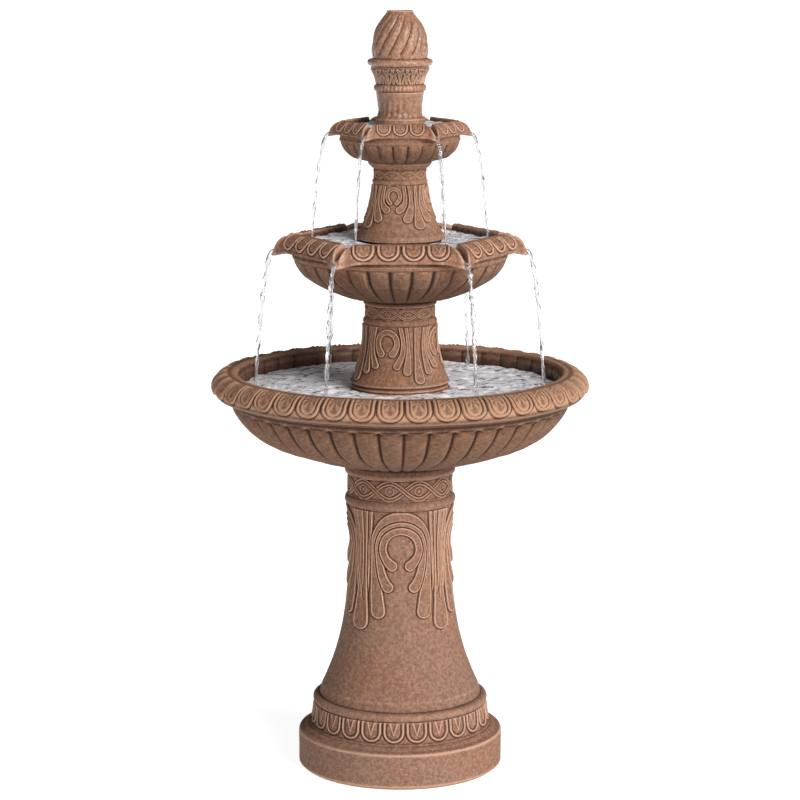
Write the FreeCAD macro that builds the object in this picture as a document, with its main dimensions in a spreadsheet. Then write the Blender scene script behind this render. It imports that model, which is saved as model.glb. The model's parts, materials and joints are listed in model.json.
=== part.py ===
import FreeCAD
import Part
import Sketcher
import math
import os

# Tiered water fountain: three stacked bowls on a pedestal, fed by a pump in the basin.
# The axis of every casting is Z, the origin is the centre of the plinth's underside,
# and -Y is the front. Heights ending in _z are measured from the ground.

DIMENSIONS = [
    # pedestal
    ("plinth_radius", 165, "plinth, outside"),
    ("plinth_height", 60, "straight wall of the plinth"),
    ("pedestal_height", 485, "ground to the basin's seat"),
    ("collar_radius", 88.6, "pedestal collar, outside"),
    ("deck_hole_radius", 72, "hole in the pedestal's top deck"),
    ("cable_notch_width", 32, "cable way in the back of the plinth"),
    ("cable_notch_height", 22, "cable way in the back of the plinth"),
    # basin
    ("basin_radius", 303, "basin rim, outside"),
    ("basin_bottom_z", 473, "lowest point of the basin's locating ring"),
    ("basin_height", 175, "locating ring to crest"),
    ("stopper_offset", 44, "cord stopper, distance behind the axis"),
    ("stopper_radius", 12, "hole in the basin's floor"),
    # lower column
    ("column_seat_z", 500, "basin floor"),
    ("lower_column_height", 257, "basin floor to the middle bowl's seat"),
    ("lower_sleeve_radius", 76, "part that stands in the water"),
    ("intake_radius", 11, "water ways in the column's foot"),
    # middle bowl
    ("middle_bowl_z", 747, "lowest point of the bowl's locating ring"),
    ("middle_rim_apothem", 172, "lower edge of the six-sided apron, centre to flat"),
    ("middle_crest_apothem", 145, "crest of the apron, centre to flat"),
    ("middle_mouth_apothem", 139, "inside of the rim, centre to flat"),
    ("middle_apron_bottom", 92, "apron's lower edge above the bowl's lowest point"),
    ("middle_apron_height", 29, "lower edge to crest"),
    ("middle_lip_width", 20, "pouring notch at the crest"),
    ("middle_lip_depth", 19, "pouring notch below the crest"),
    ("middle_yaw", 0.5, "turn of the six-sided rim, degrees"),
    # upper column
    ("upper_seat_z", 768, "middle bowl's floor"),
    ("upper_column_height", 213, "middle bowl's floor to the top bowl's seat"),
    ("upper_sleeve_radius", 64, "part that stands in the water"),
    # top bowl
    ("top_bowl_z", 973, "lowest point of the bowl's locating ring"),
    ("top_rim_apothem", 96.5, "lower edge of the apron, centre to flat"),
    ("top_crest_apothem", 82, "crest of the apron, centre to flat"),
    ("top_mouth_apothem", 77, "inside of the rim, centre to flat"),
    ("top_apron_bottom", 54, "apron's lower edge above the bowl's lowest point"),
    ("top_apron_height", 20, "lower edge to crest"),
    ("top_lip_width", 13, "pouring notch at the crest"),
    ("top_lip_depth", 13, "pouring notch below the crest"),
    ("top_yaw", 0.4, "turn of the six-sided rim, degrees"),
    # finial
    ("neck_seat_z", 990, "top bowl's floor"),
    ("neck_height", 102, "top bowl's floor to the finial's seat"),
    ("neck_bore_radius", 25, "bore of the neck"),
    ("finial_z", 1078, "bottom of the finial's spigot"),
    ("finial_height", 141, "bottom of the spigot to the top"),
    ("finial_bore_radius", 17, "bore of the finial"),
    ("mouth_radius", 15, "opening at the top"),
    # water way
    ("grommet_radius", 14, "holes in the two bowls' floors"),
    ("tube_radius", 8, "supply tube, outside"),
    ("tube_bore_radius", 6, "supply tube, inside"),
    ("tube_bottom_z", 557, "tube's end at the pump"),
    ("tube_top_z", 1188, "tube's end in the finial"),
    ("tube_clearance", 0.3, "gap between the tube and what slides over it"),
    # pump
    ("pump_bottom_z", 504, "underside of the pump's housing"),
    ("pump_height", 52, "housing, bottom to top"),
    ("pump_width", 50, "housing, across"),
    ("motor_length", 40, "motor block, along the rotor"),
    ("volute_radius", 23.2, "pump chamber, outside"),
    ("volute_length", 26, "pump chamber, along the rotor"),
    ("chamber_radius", 19.5, "pump chamber, inside"),
    ("rotor_offset", 14, "rotor axis, distance in front of the outlet's axis"),
    ("rotor_radius", 10, "magnet"),
    ("rotor_gap", 1, "water gap round the magnet"),
    ("shaft_radius", 1.5, "ceramic shaft"),
    ("outlet_radius", 10, "outlet stub, outside"),
    ("outlet_bore_radius", 7.5, "outlet stub, inside"),
    ("strainer_depth", 24, "strainer, along the rotor"),
    ("strainer_wall", 1.5, "wall of the strainer"),
    ("pump_wall", 2, "other moulded walls"),
]

BOWL_SIDES = 6
INTAKE_COUNT = 4
BLADE_COUNT = 5
STRAINER_SLOTS = 7

document = FreeCAD.newDocument("Fountain")
sheet = document.addObject("Spreadsheet::Sheet", "dims")
for row, (alias, value, note) in enumerate(DIMENSIONS, start=1):
    sheet.set(f"A{row}", alias)
    sheet.set(f"B{row}", str(value))
    sheet.set(f"C{row}", note)
    sheet.setAlias(f"B{row}", alias)
document.recompute()

SUB_PARTS = []


# ---------------------------------------------------------------- sizes and sketches


def dim(alias, offset=0.0, factor=1.0):
    """A size that stays bound to a cell: factor times the cell, plus offset."""
    return (alias, offset, factor)


def number(value):
    if isinstance(value, tuple):
        alias, offset, factor = value
        return float(sheet.get(alias)) * factor + offset
    return float(value)


def expression(value):
    alias, offset, factor = value
    return f"dims.{alias} * {factor} + {offset}"


def set_size(item, prop, value):
    """Sets a property to a number, or binds it to a cell."""
    if isinstance(value, tuple):
        item.setExpression(prop, expression(value))
    else:
        setattr(item, prop, value)


def place(item, x=0, y=0, z=0, axis=FreeCAD.Vector(0, 0, 1), angle=0.0):
    """Puts an object where x, y and z say, each a number or bound to a cell."""
    spot = FreeCAD.Vector(number(x), number(y), number(z))
    item.Placement = FreeCAD.Placement(spot, FreeCAD.Rotation(axis, number(angle)))
    for name, value in (("x", x), ("y", y), ("z", z)):
        if isinstance(value, tuple):
            item.setExpression(f"Placement.Base.{name}", expression(value))


def make_body(label, z=0, angle=0.0):
    body = document.addObject("PartDesign::Body", label)
    body.Label = label
    place(body, z=z, angle=angle)
    SUB_PARTS.append(body)
    return body


def origin_feature(body, role):
    return next(item for item in body.Origin.OriginFeatures if item.Role == role)


def make_sketch(body, name, role, offset=0.0):
    sketch = body.newObject("Sketcher::SketchObject", name)
    sketch.AttachmentSupport = (origin_feature(body, role), [""])
    sketch.MapMode = "FlatFace"
    if number(offset):
        sketch.AttachmentOffset = FreeCAD.Placement(
            FreeCAD.Vector(0, 0, number(offset)), FreeCAD.Rotation()
        )
        if isinstance(offset, tuple):
            sketch.setExpression("AttachmentOffset.Base.z", expression(offset))
    return sketch


def hold(sketch, kind, geometry, end, value):
    """Holds one coordinate of a point, on the axis where the coordinate is zero."""
    if number(value) == 0:
        axis = -2 if kind == "DistanceX" else -1
        sketch.addConstraint(Sketcher.Constraint("PointOnObject", geometry, end, axis))
        return
    index = sketch.addConstraint(
        Sketcher.Constraint(kind, -1, 1, geometry, end, number(value))
    )
    if isinstance(value, tuple):
        sketch.setExpression(f"Constraints[{index}]", expression(value))


def arc_middle(start, end, radius):
    """A point halfway along an arc; it bulges to the left of start to end if radius > 0."""
    chord = end - start
    half = chord.Length / 2
    rise = abs(radius) - math.sqrt(radius * radius - half * half)
    side = FreeCAD.Vector(-chord.y, chord.x, 0).normalize()
    return (start + end) / 2 + side * math.copysign(rise, radius)


def draw_outline(sketch, points):
    """A closed outline. A point is (across, up), or (across, up, radius) to leave it by an arc."""
    places = [FreeCAD.Vector(number(point[0]), number(point[1]), 0) for point in points]
    ends = []
    for index, point in enumerate(points):
        start = places[index]
        finish = places[(index + 1) % len(places)]
        if len(point) == 2:
            geometry = sketch.addGeometry(Part.LineSegment(start, finish), False)
            ends.append((geometry, 1, 2))
            continue
        middle = arc_middle(start, finish, point[2])
        if point[2] > 0:
            geometry = sketch.addGeometry(Part.Arc(finish, middle, start), False)
            ends.append((geometry, 2, 1))
        else:
            geometry = sketch.addGeometry(Part.Arc(start, middle, finish), False)
            ends.append((geometry, 1, 2))
        sketch.addConstraint(Sketcher.Constraint("Radius", geometry, abs(point[2])))
    for index, point in enumerate(points):
        geometry, first, last = ends[index]
        following = ends[(index + 1) % len(ends)]
        hold(sketch, "DistanceX", geometry, first, point[0])
        hold(sketch, "DistanceY", geometry, first, point[1])
        sketch.addConstraint(
            Sketcher.Constraint("Coincident", geometry, last, following[0], following[1])
        )


def revolve(body, name, points, cut=False):
    """Turns an outline of (radius, height) points about Z, adding it or cutting it away."""
    sketch = make_sketch(body, name + "_outline", "XZ_Plane")
    draw_outline(sketch, points)
    kind = "PartDesign::Groove" if cut else "PartDesign::Revolution"
    feature = body.newObject(kind, name)
    feature.Profile = sketch
    feature.ReferenceAxis = (sketch, ["V_Axis"])
    feature.Angle = 360
    body.Tip = feature
    return feature


def hexagon_sketch(body, name, apothem, height):
    """A regular hexagon with one corner on +X."""
    sketch = make_sketch(body, name, "XY_Plane", height)
    corner = number(apothem) / math.cos(math.pi / BOWL_SIDES)
    places = []
    for index in range(BOWL_SIDES):
        turn = 2 * math.pi * index / BOWL_SIDES
        places.append(FreeCAD.Vector(corner * math.cos(turn), corner * math.sin(turn), 0))
    circle = Part.Circle(FreeCAD.Vector(), FreeCAD.Vector(0, 0, 1), corner)
    guide = sketch.addGeometry(circle, True)
    sketch.addConstraint(Sketcher.Constraint("Coincident", guide, 3, -1, 1))
    lines = []
    for index in range(BOWL_SIDES):
        line = Part.LineSegment(places[index], places[(index + 1) % BOWL_SIDES])
        lines.append(sketch.addGeometry(line, False))
    for index, line in enumerate(lines):
        following = lines[(index + 1) % BOWL_SIDES]
        sketch.addConstraint(Sketcher.Constraint("Coincident", line, 2, following, 1))
        sketch.addConstraint(Sketcher.Constraint("PointOnObject", line, 1, guide))
        if index:
            sketch.addConstraint(Sketcher.Constraint("Equal", lines[0], line))
    sketch.addConstraint(Sketcher.Constraint("PointOnObject", lines[0], 1, -1))
    radius = sketch.addConstraint(Sketcher.Constraint("Radius", guide, corner))
    if isinstance(apothem, tuple):
        bound = f"({expression(apothem)}) / cos({180 / BOWL_SIDES} deg)"
        sketch.setExpression(f"Constraints[{radius}]", bound)
    return sketch


def around(body, feature, count):
    """Repeats a feature evenly about Z."""
    pattern = body.newObject("PartDesign::PolarPattern", feature.Name + "_around")
    pattern.Originals = [feature]
    pattern.Axis = (origin_feature(body, "Z_Axis"), [""])
    pattern.Angle = 360
    pattern.Occurrences = count
    body.Tip = pattern
    return pattern


# ---------------------------------------------------------------- castings


def make_pedestal():
    body = make_body("pedestal")
    collar = dim("collar_radius")
    top = "pedestal_height"
    plinth = "plinth_radius"
    shoulder = "plinth_height"
    revolve(body, "pedestal_casting", [
        (dim(plinth, -6), 0),
        (dim(plinth), 6),
        (dim(plinth), dim(shoulder, -4), -6),
        (dim(plinth, -4), dim(shoulder, 1)),
        (dim(plinth, -19), dim(shoulder, 6)),
        (dim(plinth, -21.5), dim(shoulder, 9)),
        (dim(plinth, -25.5), dim(shoulder, 45)),
        (dim(plinth, -27), dim(shoulder, 46), -7),
        (dim(plinth, -33), dim(shoulder, 57)),
        (127, 132, 420),
        (92, 242, 900),
        (81.5, 370, 500),
        (dim("collar_radius", -2.6), dim(top, -49)),
        (dim("collar_radius", -2.6), dim(top, -47), -8),
        (dim("collar_radius", -2.6), dim(top, -33)),
        (dim("collar_radius", -2.6), dim(top, -7)),
        (collar, dim(top, -5)),
        (collar, dim(top)),
        (dim("deck_hole_radius"), dim(top)),
        (dim("deck_hole_radius"), dim(top, -12)),
        (dim("collar_radius", -12.6), dim(top, -16)),
        (72.5, 370, -900),
        (83, 242, -420),
        (118, 132),
        (dim(plinth, -35), dim(shoulder, 45)),
        (dim(plinth, -31), dim(shoulder, 2)),
        (dim(plinth, -14), dim(shoulder, -9)),
        (dim(plinth, -14), 0),
    ])
    notch = make_sketch(body, "cable_notch_outline", "XZ_Plane")
    half = dim("cable_notch_width", 0, 0.5)
    draw_outline(notch, [
        (dim("cable_notch_width", 0, -0.5), 0),
        (half, 0),
        (half, dim("cable_notch_height")),
        (dim("cable_notch_width", 0, -0.5), dim("cable_notch_height")),
    ])
    pocket = body.newObject("PartDesign::Pocket", "cable_notch")
    pocket.Profile = notch
    set_size(pocket, "Length", dim("plinth_radius", 10))
    body.Tip = pocket


def make_basin():
    body = make_body("basin", z=dim("basin_bottom_z"))
    rim = "basin_radius"
    crest = "basin_height"
    revolve(body, "basin_casting", [
        (0, 14),
        (62, 14),
        (62, 0),
        (dim("deck_hole_radius", -2), 0),
        (dim("deck_hole_radius", -2), 12),
        (dim("collar_radius"), 12),
        (dim("collar_radius"), 29),
        (92, 32),
        (120, 34, -420),
        (190, 55, -120),
        (dim(rim, -33), 121),
        (dim(rim, -30), 127, 14),
        (dim(rim, -19), 135),
        (dim(rim, -15), 138),
        (dim(rim, -6), 144, -12),
        (dim(rim), dim(crest, -19), -30),
        (dim(rim, -35), dim(crest)),
        (dim(rim, -41), dim(crest)),
        (dim(rim, -48), dim(crest, -12)),
        (dim(rim, -45), 115, 112),
        (190, 63.2, 420),
        (120, 42.5),
        (92, 40),
        (80, 33),
        (78, 31),
        (78, 27),
        (0, 27),
    ])
    hole = make_sketch(body, "stopper_hole_outline", "XY_Plane")
    circle = Part.Circle(
        FreeCAD.Vector(0, number(dim("stopper_offset")), 0),
        FreeCAD.Vector(0, 0, 1),
        number(dim("stopper_radius")),
    )
    ring = hole.addGeometry(circle, False)
    hold(hole, "DistanceX", ring, 3, 0)
    hold(hole, "DistanceY", ring, 3, dim("stopper_offset"))
    size = hole.addConstraint(Sketcher.Constraint("Radius", ring, number(dim("stopper_radius"))))
    hole.setExpression(f"Constraints[{size}]", expression(dim("stopper_radius")))
    pocket = body.newObject("PartDesign::Pocket", "stopper_hole")
    pocket.Profile = hole
    pocket.Type = "Length"
    pocket.Reversed = True
    pocket.Length = 40
    body.Tip = pocket


def make_lower_column():
    body = make_body("lower_column", z=dim("column_seat_z"))
    sleeve = "lower_sleeve_radius"
    top = "lower_column_height"
    revolve(body, "lower_column_casting", [
        (dim(sleeve, -7), 0),
        (dim(sleeve), 0),
        (dim(sleeve), 113),
        (dim(sleeve, 2), 116),
        (dim(sleeve, 2), 125),
        (dim(sleeve, -1), 128),
        (dim(sleeve, 4), 132, 160),
        (58.5, dim(top, -42)),
        (58, dim(top, -33), -6),
        (58, dim(top, -23)),
        (55.5, dim(top, -21)),
        (55.5, dim(top, -4)),
        (57.5, dim(top, -3)),
        (57.5, dim(top)),
        (49, dim(top)),
        (49, dim(top, -40), -160),
        (dim(sleeve, -7), 128),
    ])
    add_intakes(body, "lower_intake", dim("lower_column_height", 0, 0.5))


def add_intakes(body, name, reach):
    """Water ways at the foot of a column, so that the water reaches the pump inside it."""
    sketch = make_sketch(body, name + "_outline", "XZ_Plane")
    radius = dim("intake_radius")
    left = dim("intake_radius", 0, -1)
    draw_outline(sketch, [(left, 0), (radius, 0), (radius, radius), (left, radius)])
    pocket = body.newObject("PartDesign::Pocket", name)
    pocket.Profile = sketch
    set_size(pocket, "Length", reach)
    body.Tip = pocket
    around(body, pocket, INTAKE_COUNT)


def make_bowl(label, prefix, outside, inside, z):
    """A round bowl with a six-sided apron and a pouring notch at each corner of its rim."""
    body = make_body(label, z=z, angle=dim(prefix + "_yaw"))
    revolve(body, label + "_outside", outside)
    rim = prefix + "_rim_apothem"
    crest = prefix + "_crest_apothem"
    bottom = prefix + "_apron_bottom"
    height = prefix + "_apron_height"
    base = number(dim(bottom))
    rise = number(dim(height))
    spread = number(dim(rim)) - number(dim(crest))
    steps = ((0.0, 0.0), (0.3, 0.06), (0.6, 0.28), (0.87, 0.65), (1.0, 1.0))
    sections = []
    for index, (up, inward) in enumerate(steps):
        apothem = dim(rim, -spread * inward)
        sections.append(
            hexagon_sketch(body, f"{label}_apron_{index}", apothem, dim(bottom, rise * up))
        )
    apron = body.newObject("PartDesign::AdditiveLoft", label + "_apron")
    apron.Profile = sections[0]
    apron.Sections = sections[1:]
    apron.Ruled = True
    body.Tip = apron
    revolve(body, label + "_inside", inside, cut=True)
    mouth_name = label + "_mouth_outline"
    mouth = hexagon_sketch(body, mouth_name, dim(prefix + "_mouth_apothem"), base + rise + 1)
    pocket = body.newObject("PartDesign::Pocket", label + "_mouth")
    pocket.Profile = mouth
    set_size(pocket, "Length", dim(height, -4))
    body.Tip = pocket
    notch = make_sketch(body, label + "_lip_outline", "YZ_Plane")
    draw_outline(notch, [
        (0, base + rise - number(dim(prefix + "_lip_depth"))),
        (dim(prefix + "_lip_width", 0, 0.5), base + rise + 2),
        (dim(prefix + "_lip_width", 0, -0.5), base + rise + 2),
    ])
    lip = body.newObject("PartDesign::Pocket", label + "_lip")
    lip.Profile = notch
    set_size(lip, "Length", dim(rim, 60))
    body.Tip = lip
    around(body, lip, BOWL_SIDES)


def make_middle_bowl():
    hole = dim("grommet_radius")
    outside = [
        (hole, 10),
        (41, 10),
        (41, 0),
        (48, 0),
        (48, 10),
        (58.5, 10),
        (58.5, 16),
        (61, 18),
        (85, 21, -260),
        (151, 53, -70),
        (dim("middle_rim_apothem", -1), 82),
        (dim("middle_rim_apothem", -1), dim("middle_apron_bottom", 2)),
        (hole, dim("middle_apron_bottom", 2)),
    ]
    inside = [
        (0, 21),
        (66, 21),
        (66, 25),
        (74, 30, -120),
        (129, 68, -90),
        (dim("middle_mouth_apothem", -1), dim("middle_apron_bottom", 3)),
        (dim("middle_mouth_apothem", -1), dim("middle_apron_bottom", 6)),
        (0, dim("middle_apron_bottom", 6)),
    ]
    make_bowl("middle_bowl", "middle", outside, inside, dim("middle_bowl_z"))


def make_upper_column():
    body = make_body("upper_column", z=dim("upper_seat_z"))
    sleeve = "upper_sleeve_radius"
    top = "upper_column_height"
    revolve(body, "upper_column_casting", [
        (dim(sleeve, -6), 0),
        (dim(sleeve), 0),
        (dim(sleeve), 90),
        (dim(sleeve, 6), 93),
        (dim(sleeve, 6), 100),
        (dim(sleeve, 2), 104, 170),
        (42, dim(top, -38)),
        (43, dim(top, -36), -5),
        (43, dim(top, -28)),
        (42, dim(top, -26)),
        (42, dim(top, -9)),
        (47, dim(top, -6)),
        (50, dim(top, -2)),
        (50, dim(top)),
        (36, dim(top)),
        (36, dim(top, -44), -170),
        (dim(sleeve, -6), 98),
    ])


def make_top_bowl():
    hole = dim("grommet_radius")
    outside = [
        (hole, 8),
        (30, 8),
        (30, 0),
        (35, 0),
        (35, 8),
        (50.5, 8),
        (50.5, 10),
        (75, 16, -40),
        (dim("top_rim_apothem", -1.5), 42),
        (dim("top_rim_apothem", -1.5), dim("top_apron_bottom", 2)),
        (hole, dim("top_apron_bottom", 2)),
    ]
    inside = [
        (0, 17),
        (42, 17),
        (42, 20),
        (46, 20, -60),
        (dim("top_mouth_apothem", -1), dim("top_apron_bottom", 1)),
        (dim("top_mouth_apothem", -1), dim("top_apron_bottom", 5)),
        (0, dim("top_apron_bottom", 5)),
    ]
    make_bowl("top_bowl", "top", outside, inside, dim("top_bowl_z"))


def make_neck():
    body = make_body("finial_neck", z=dim("neck_seat_z"))
    bore = dim("neck_bore_radius")
    top = "neck_height"
    revolve(body, "neck_casting", [
        (bore, 0),
        (38, 0),
        (38, 52),
        (40, 54),
        (40, 60),
        (36, 63, 30),
        (34, 74, 120),
        (37.7, dim(top, -3)),
        (37.7, dim(top)),
        (bore, dim(top)),
    ])


def make_finial():
    body = make_body("finial", z=dim("finial_z"))
    bore = dim("finial_bore_radius")
    top = "finial_height"
    revolve(body, "finial_casting", [
        (bore, 0),
        (dim("neck_bore_radius", -0.4), 0),
        (dim("neck_bore_radius", -0.4), 14),
        (36.5, 14, -6.2),
        (36.5, 26),
        (36.5, 29, 60),
        (46, 51),
        (49.5, 54, -6.5),
        (49, 66),
        (43.4, 68),
        (43.4, 71, -34),
        (43.3, 91, -60),
        (27.4, dim(top, -12)),
        (dim("mouth_radius", 2), dim(top)),
        (dim("mouth_radius"), dim(top)),
        (dim("mouth_radius"), dim(top, -12)),
        (bore, dim(top, -15)),
    ])


# ---------------------------------------------------------------- simple solids


def box(label, x, y, z, length, width, height):
    item = document.addObject("Part::Box", label)
    set_size(item, "Length", length)
    set_size(item, "Width", width)
    set_size(item, "Height", height)
    place(item, x, y, z)
    return item


def cylinder(label, x, y, z, radius, height, along_x=False):
    item = document.addObject("Part::Cylinder", label)
    set_size(item, "Radius", radius)
    set_size(item, "Height", height)
    turn = 90.0 if along_x else 0.0
    place(item, x, y, z, FreeCAD.Vector(0, 1, 0), turn)
    return item


def cut(label, base, *tools):
    """The base less each tool."""
    for index, tool in enumerate(tools):
        item = document.addObject("Part::Cut", f"{label}_cut_{index}")
        item.Base = base
        item.Tool = tool
        base = item
    return base


def fuse(label, *pieces):
    item = document.addObject("Part::MultiFuse", label)
    item.Shapes = list(pieces)
    item.Refine = True
    return item


def finish(label, item):
    item.Label = label
    SUB_PARTS.append(item)
    return item


def ring(label, x, y, z, outer, inner, height, along_x=False):
    outside = cylinder(label + "_outside", x, y, z, outer, height, along_x)
    inside = cylinder(label + "_inside", x, y, z, inner, height, along_x)
    return cut(label, outside, inside)


# ---------------------------------------------------------------- water way


def make_water_way():
    sliding = number(dim("tube_radius")) + number(dim("tube_clearance"))
    slide_bore = dim("tube_radius", number(dim("tube_clearance")))
    tube_length = number(dim("tube_top_z")) - number(dim("tube_bottom_z"))
    finish("supply_tube", ring(
        "tube", 0, 0, dim("tube_bottom_z"), dim("tube_radius"), dim("tube_bore_radius"), tube_length
    ))
    finish("outlet_collar", ring(
        "collar", 0, 0, dim("tube_top_z", -22), dim("finial_bore_radius"), sliding, 26
    ))
    for name, seat, thickness in (("middle_bowl", 10, 11), ("top_bowl", 8, 9)):
        floor = name + "_z"
        web = ring(
            name + "_web", 0, 0, dim(floor, seat),
            dim("grommet_radius"), slide_bore, thickness,
        )
        upper = ring(
            name + "_flange", 0, 0, dim(floor, seat + thickness),
            dim("grommet_radius", 4), slide_bore, 2.5,
        )
        finish(name + "_grommet", fuse(name + "_rubber", web, upper))
    stem = cylinder("stopper_stem", 0, dim("stopper_offset"), dim("basin_bottom_z", 14),
                    dim("stopper_radius"), 13)
    head = cylinder("stopper_head", 0, dim("stopper_offset"), dim("column_seat_z"),
                    dim("stopper_radius", 3), 4)
    cord_hole = cylinder("stopper_cord_hole", 0, dim("stopper_offset"),
                         dim("basin_bottom_z", 10), 3, 20)
    finish("cord_stopper", cut("stopper", fuse("stopper_solid", stem, head), cord_hole))


# ---------------------------------------------------------------- pump


def make_pump():
    """A small submersible pump: motor block behind, pump chamber below the outlet, strainer ahead.

    The rotor's axis runs along X, level, and the outlet stands on the fountain's axis."""
    half_chamber = number(dim("volute_length")) / 2
    motor = number(dim("motor_length"))
    wall = number(dim("pump_wall"))
    width = number(dim("pump_width"))
    axis_y = dim("rotor_offset", 0, -1)
    rotor_y = number(axis_y)
    rotor_z = number(dim("pump_bottom_z")) + number(dim("pump_height")) / 2
    axis_z = dim("pump_bottom_z", number(dim("pump_height")) / 2)
    back = -half_chamber - motor
    cavity = number(dim("rotor_radius")) + number(dim("rotor_gap"))
    side_y = rotor_y - width / 2
    top_z = number(dim("pump_bottom_z")) + number(dim("pump_height"))

    block = box("motor_block", back, side_y, dim("pump_bottom_z"), dim("motor_length"),
                dim("pump_width"), dim("pump_height"))
    chamber = cylinder("chamber_wall", -half_chamber, axis_y, axis_z,
                       dim("volute_radius"), dim("volute_length"), True)
    stub = cylinder("outlet_stub", 0, 0, axis_z, dim("outlet_radius"), dim("pump_height", 0, 0.5))
    solid = fuse("pump_solid", block, chamber, stub)
    chamber_space = cylinder("chamber_space", -half_chamber + 2 * wall, axis_y, axis_z,
                             dim("chamber_radius"), dim("volute_length"), True)
    rotor_space = cylinder("rotor_space", back + 2 * wall, axis_y, axis_z, cavity, motor, True)
    outlet_space = cylinder("outlet_space", 0, 0, axis_z, dim("outlet_bore_radius"),
                            dim("pump_height"))
    stator_box = box("stator_space_box", back + 3 * wall, side_y + 2 * wall, rotor_z - 20,
                     motor - 6 * wall, width - 4 * wall, 40)
    sleeve = cylinder("stator_space_core", back, axis_y, axis_z, cavity + wall, motor, True)
    stator_space = cut("stator_space", stator_box, sleeve)
    seal_groove = ring("seal_groove", half_chamber - 1, axis_y, axis_z,
                       dim("volute_radius", -1), dim("volute_radius", -2.6), 1, True)
    gland_hole = cylinder("gland_hole", back - 1, axis_y, rotor_z + 16, 4, 3, True)
    finish("pump_housing", cut("pump_housing", solid, chamber_space, rotor_space, outlet_space,
                               stator_space, seal_groove, gland_hole))

    play = 0.2
    core = box("stator_box", back + 3 * wall + play, side_y + 2 * wall + play, rotor_z - 20 + play,
               motor - 6 * wall - 2 * play, width - 4 * wall - 2 * play, 40 - 2 * play)
    core_hole = cylinder("stator_bore", back, axis_y, axis_z, cavity + wall + play, motor, True)
    finish("pump_stator", cut("pump_stator", core, core_hole))

    finish("pump_o_ring", ring("o_ring", half_chamber - 1, axis_y, axis_z,
                               dim("volute_radius", -1), dim("volute_radius", -2.6), 1, True))

    plate = cylinder("cover_plate", half_chamber, axis_y, axis_z, dim("volute_radius"), 3, True)
    neck = cylinder("cover_neck", half_chamber, axis_y, axis_z, 11, 10, True)
    eye = cylinder("cover_eye", half_chamber - 1, axis_y, axis_z, 9, 14, True)
    hub = cylinder("cover_hub", half_chamber, axis_y, axis_z, 4.5, 4, True)
    arm = box("cover_arm", half_chamber, rotor_y - 10, rotor_z - 1, 3, 20, 2)
    hub_hole = cylinder("cover_hub_hole", half_chamber - 1, axis_y, axis_z, 3, 6, True)
    ring_part = cut("cover_ring", fuse("cover_solid", plate, neck), eye)
    finish("volute_cover", cut("volute_cover", fuse("cover_all", ring_part, hub, arm), hub_hole))

    bush_ring = ring("front_bush", half_chamber, axis_y, axis_z, 3,
                     dim("shaft_radius", 0.05), 4, True)
    rear_ring = ring("rear_bush", back + 2 * wall, axis_y, axis_z, cavity,
                     dim("shaft_radius", 0.05), 4, True)
    bushes = document.addObject("Part::Compound", "bush_pair")
    bushes.Links = [bush_ring, rear_ring]
    finish("shaft_bushes", bushes)

    shaft_start = back + 2 * wall
    shaft = cylinder("shaft", shaft_start, axis_y, axis_z, dim("shaft_radius"),
                     half_chamber + 4 - shaft_start, True)
    finish("impeller_shaft", shaft)

    magnet_start = back + 2 * wall + 5
    finish("rotor_magnet", ring("magnet", magnet_start, axis_y, axis_z, dim("rotor_radius"),
                                dim("shaft_radius", 0.1), -half_chamber - magnet_start, True))
    hub_solid = cylinder("impeller_hub", -half_chamber, axis_y, axis_z, 5.5,
                         number(dim("volute_length")) - 2, True)
    disc = cylinder("impeller_disc", -half_chamber + 2 * wall + 1, axis_y, axis_z, 17, 2, True)
    blades = []
    for index in range(BLADE_COUNT):
        blade = box(f"blade_{index}", 0, 0, 0, 14, 1.6, 17)
        angle = 360 * index / BLADE_COUNT
        turn = FreeCAD.Rotation(FreeCAD.Vector(1, 0, 0), angle)
        start = FreeCAD.Vector(-half_chamber + 2 * wall + 2, rotor_y, rotor_z)
        blade.Placement = FreeCAD.Placement(start, turn)
        blades.append(blade)
    wheel = fuse("impeller_solid", hub_solid, disc, *blades)
    wheel_bore = cylinder("impeller_bore", -half_chamber - 1, axis_y, axis_z,
                          dim("shaft_radius", 0.1), 40, True)
    finish("impeller", cut("impeller", wheel, wheel_bore))

    front = half_chamber + 3
    shell_start = -half_chamber
    shell_length = front + number(dim("strainer_depth")) - shell_start
    shell = box("strainer_shell", shell_start, side_y, dim("pump_bottom_z"), shell_length,
                dim("pump_width"), dim("pump_height"))
    skin = number(dim("strainer_wall"))
    hollow = box("strainer_hollow", shell_start - 1, side_y + skin, dim("pump_bottom_z", skin),
                 shell_length + 1 - skin, dim("pump_width", -2 * skin),
                 dim("pump_height", -2 * skin))
    stub_way = cylinder("strainer_stub_way", 0, 0, axis_z, dim("outlet_radius", 0.3),
                        dim("pump_height"))
    slots = []
    pitch = (width - 8) / STRAINER_SLOTS
    for index in range(STRAINER_SLOTS):
        start_y = side_y + 4 + pitch * index + pitch / 4
        slots.append(box(f"slot_{index}", front + 10, start_y, dim("pump_bottom_z", 8), 30,
                         pitch / 2, dim("pump_height", -16)))
    dial_slot = box("dial_slot", front + 1, rotor_y - 20, top_z - 5, 5, 40, 10)
    finish("pump_strainer", cut("pump_strainer", shell, hollow, stub_way, dial_slot, *slots))

    dial_ring = ring("dial_ring", front + 1.5, axis_y, axis_z, 17, 11.4, 4, True)
    lever = box("dial_lever", front + 1.5, rotor_y - 3, rotor_z + 15, 4, 6, 16)
    finish("flow_dial", fuse("flow_dial", dial_ring, lever))

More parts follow.
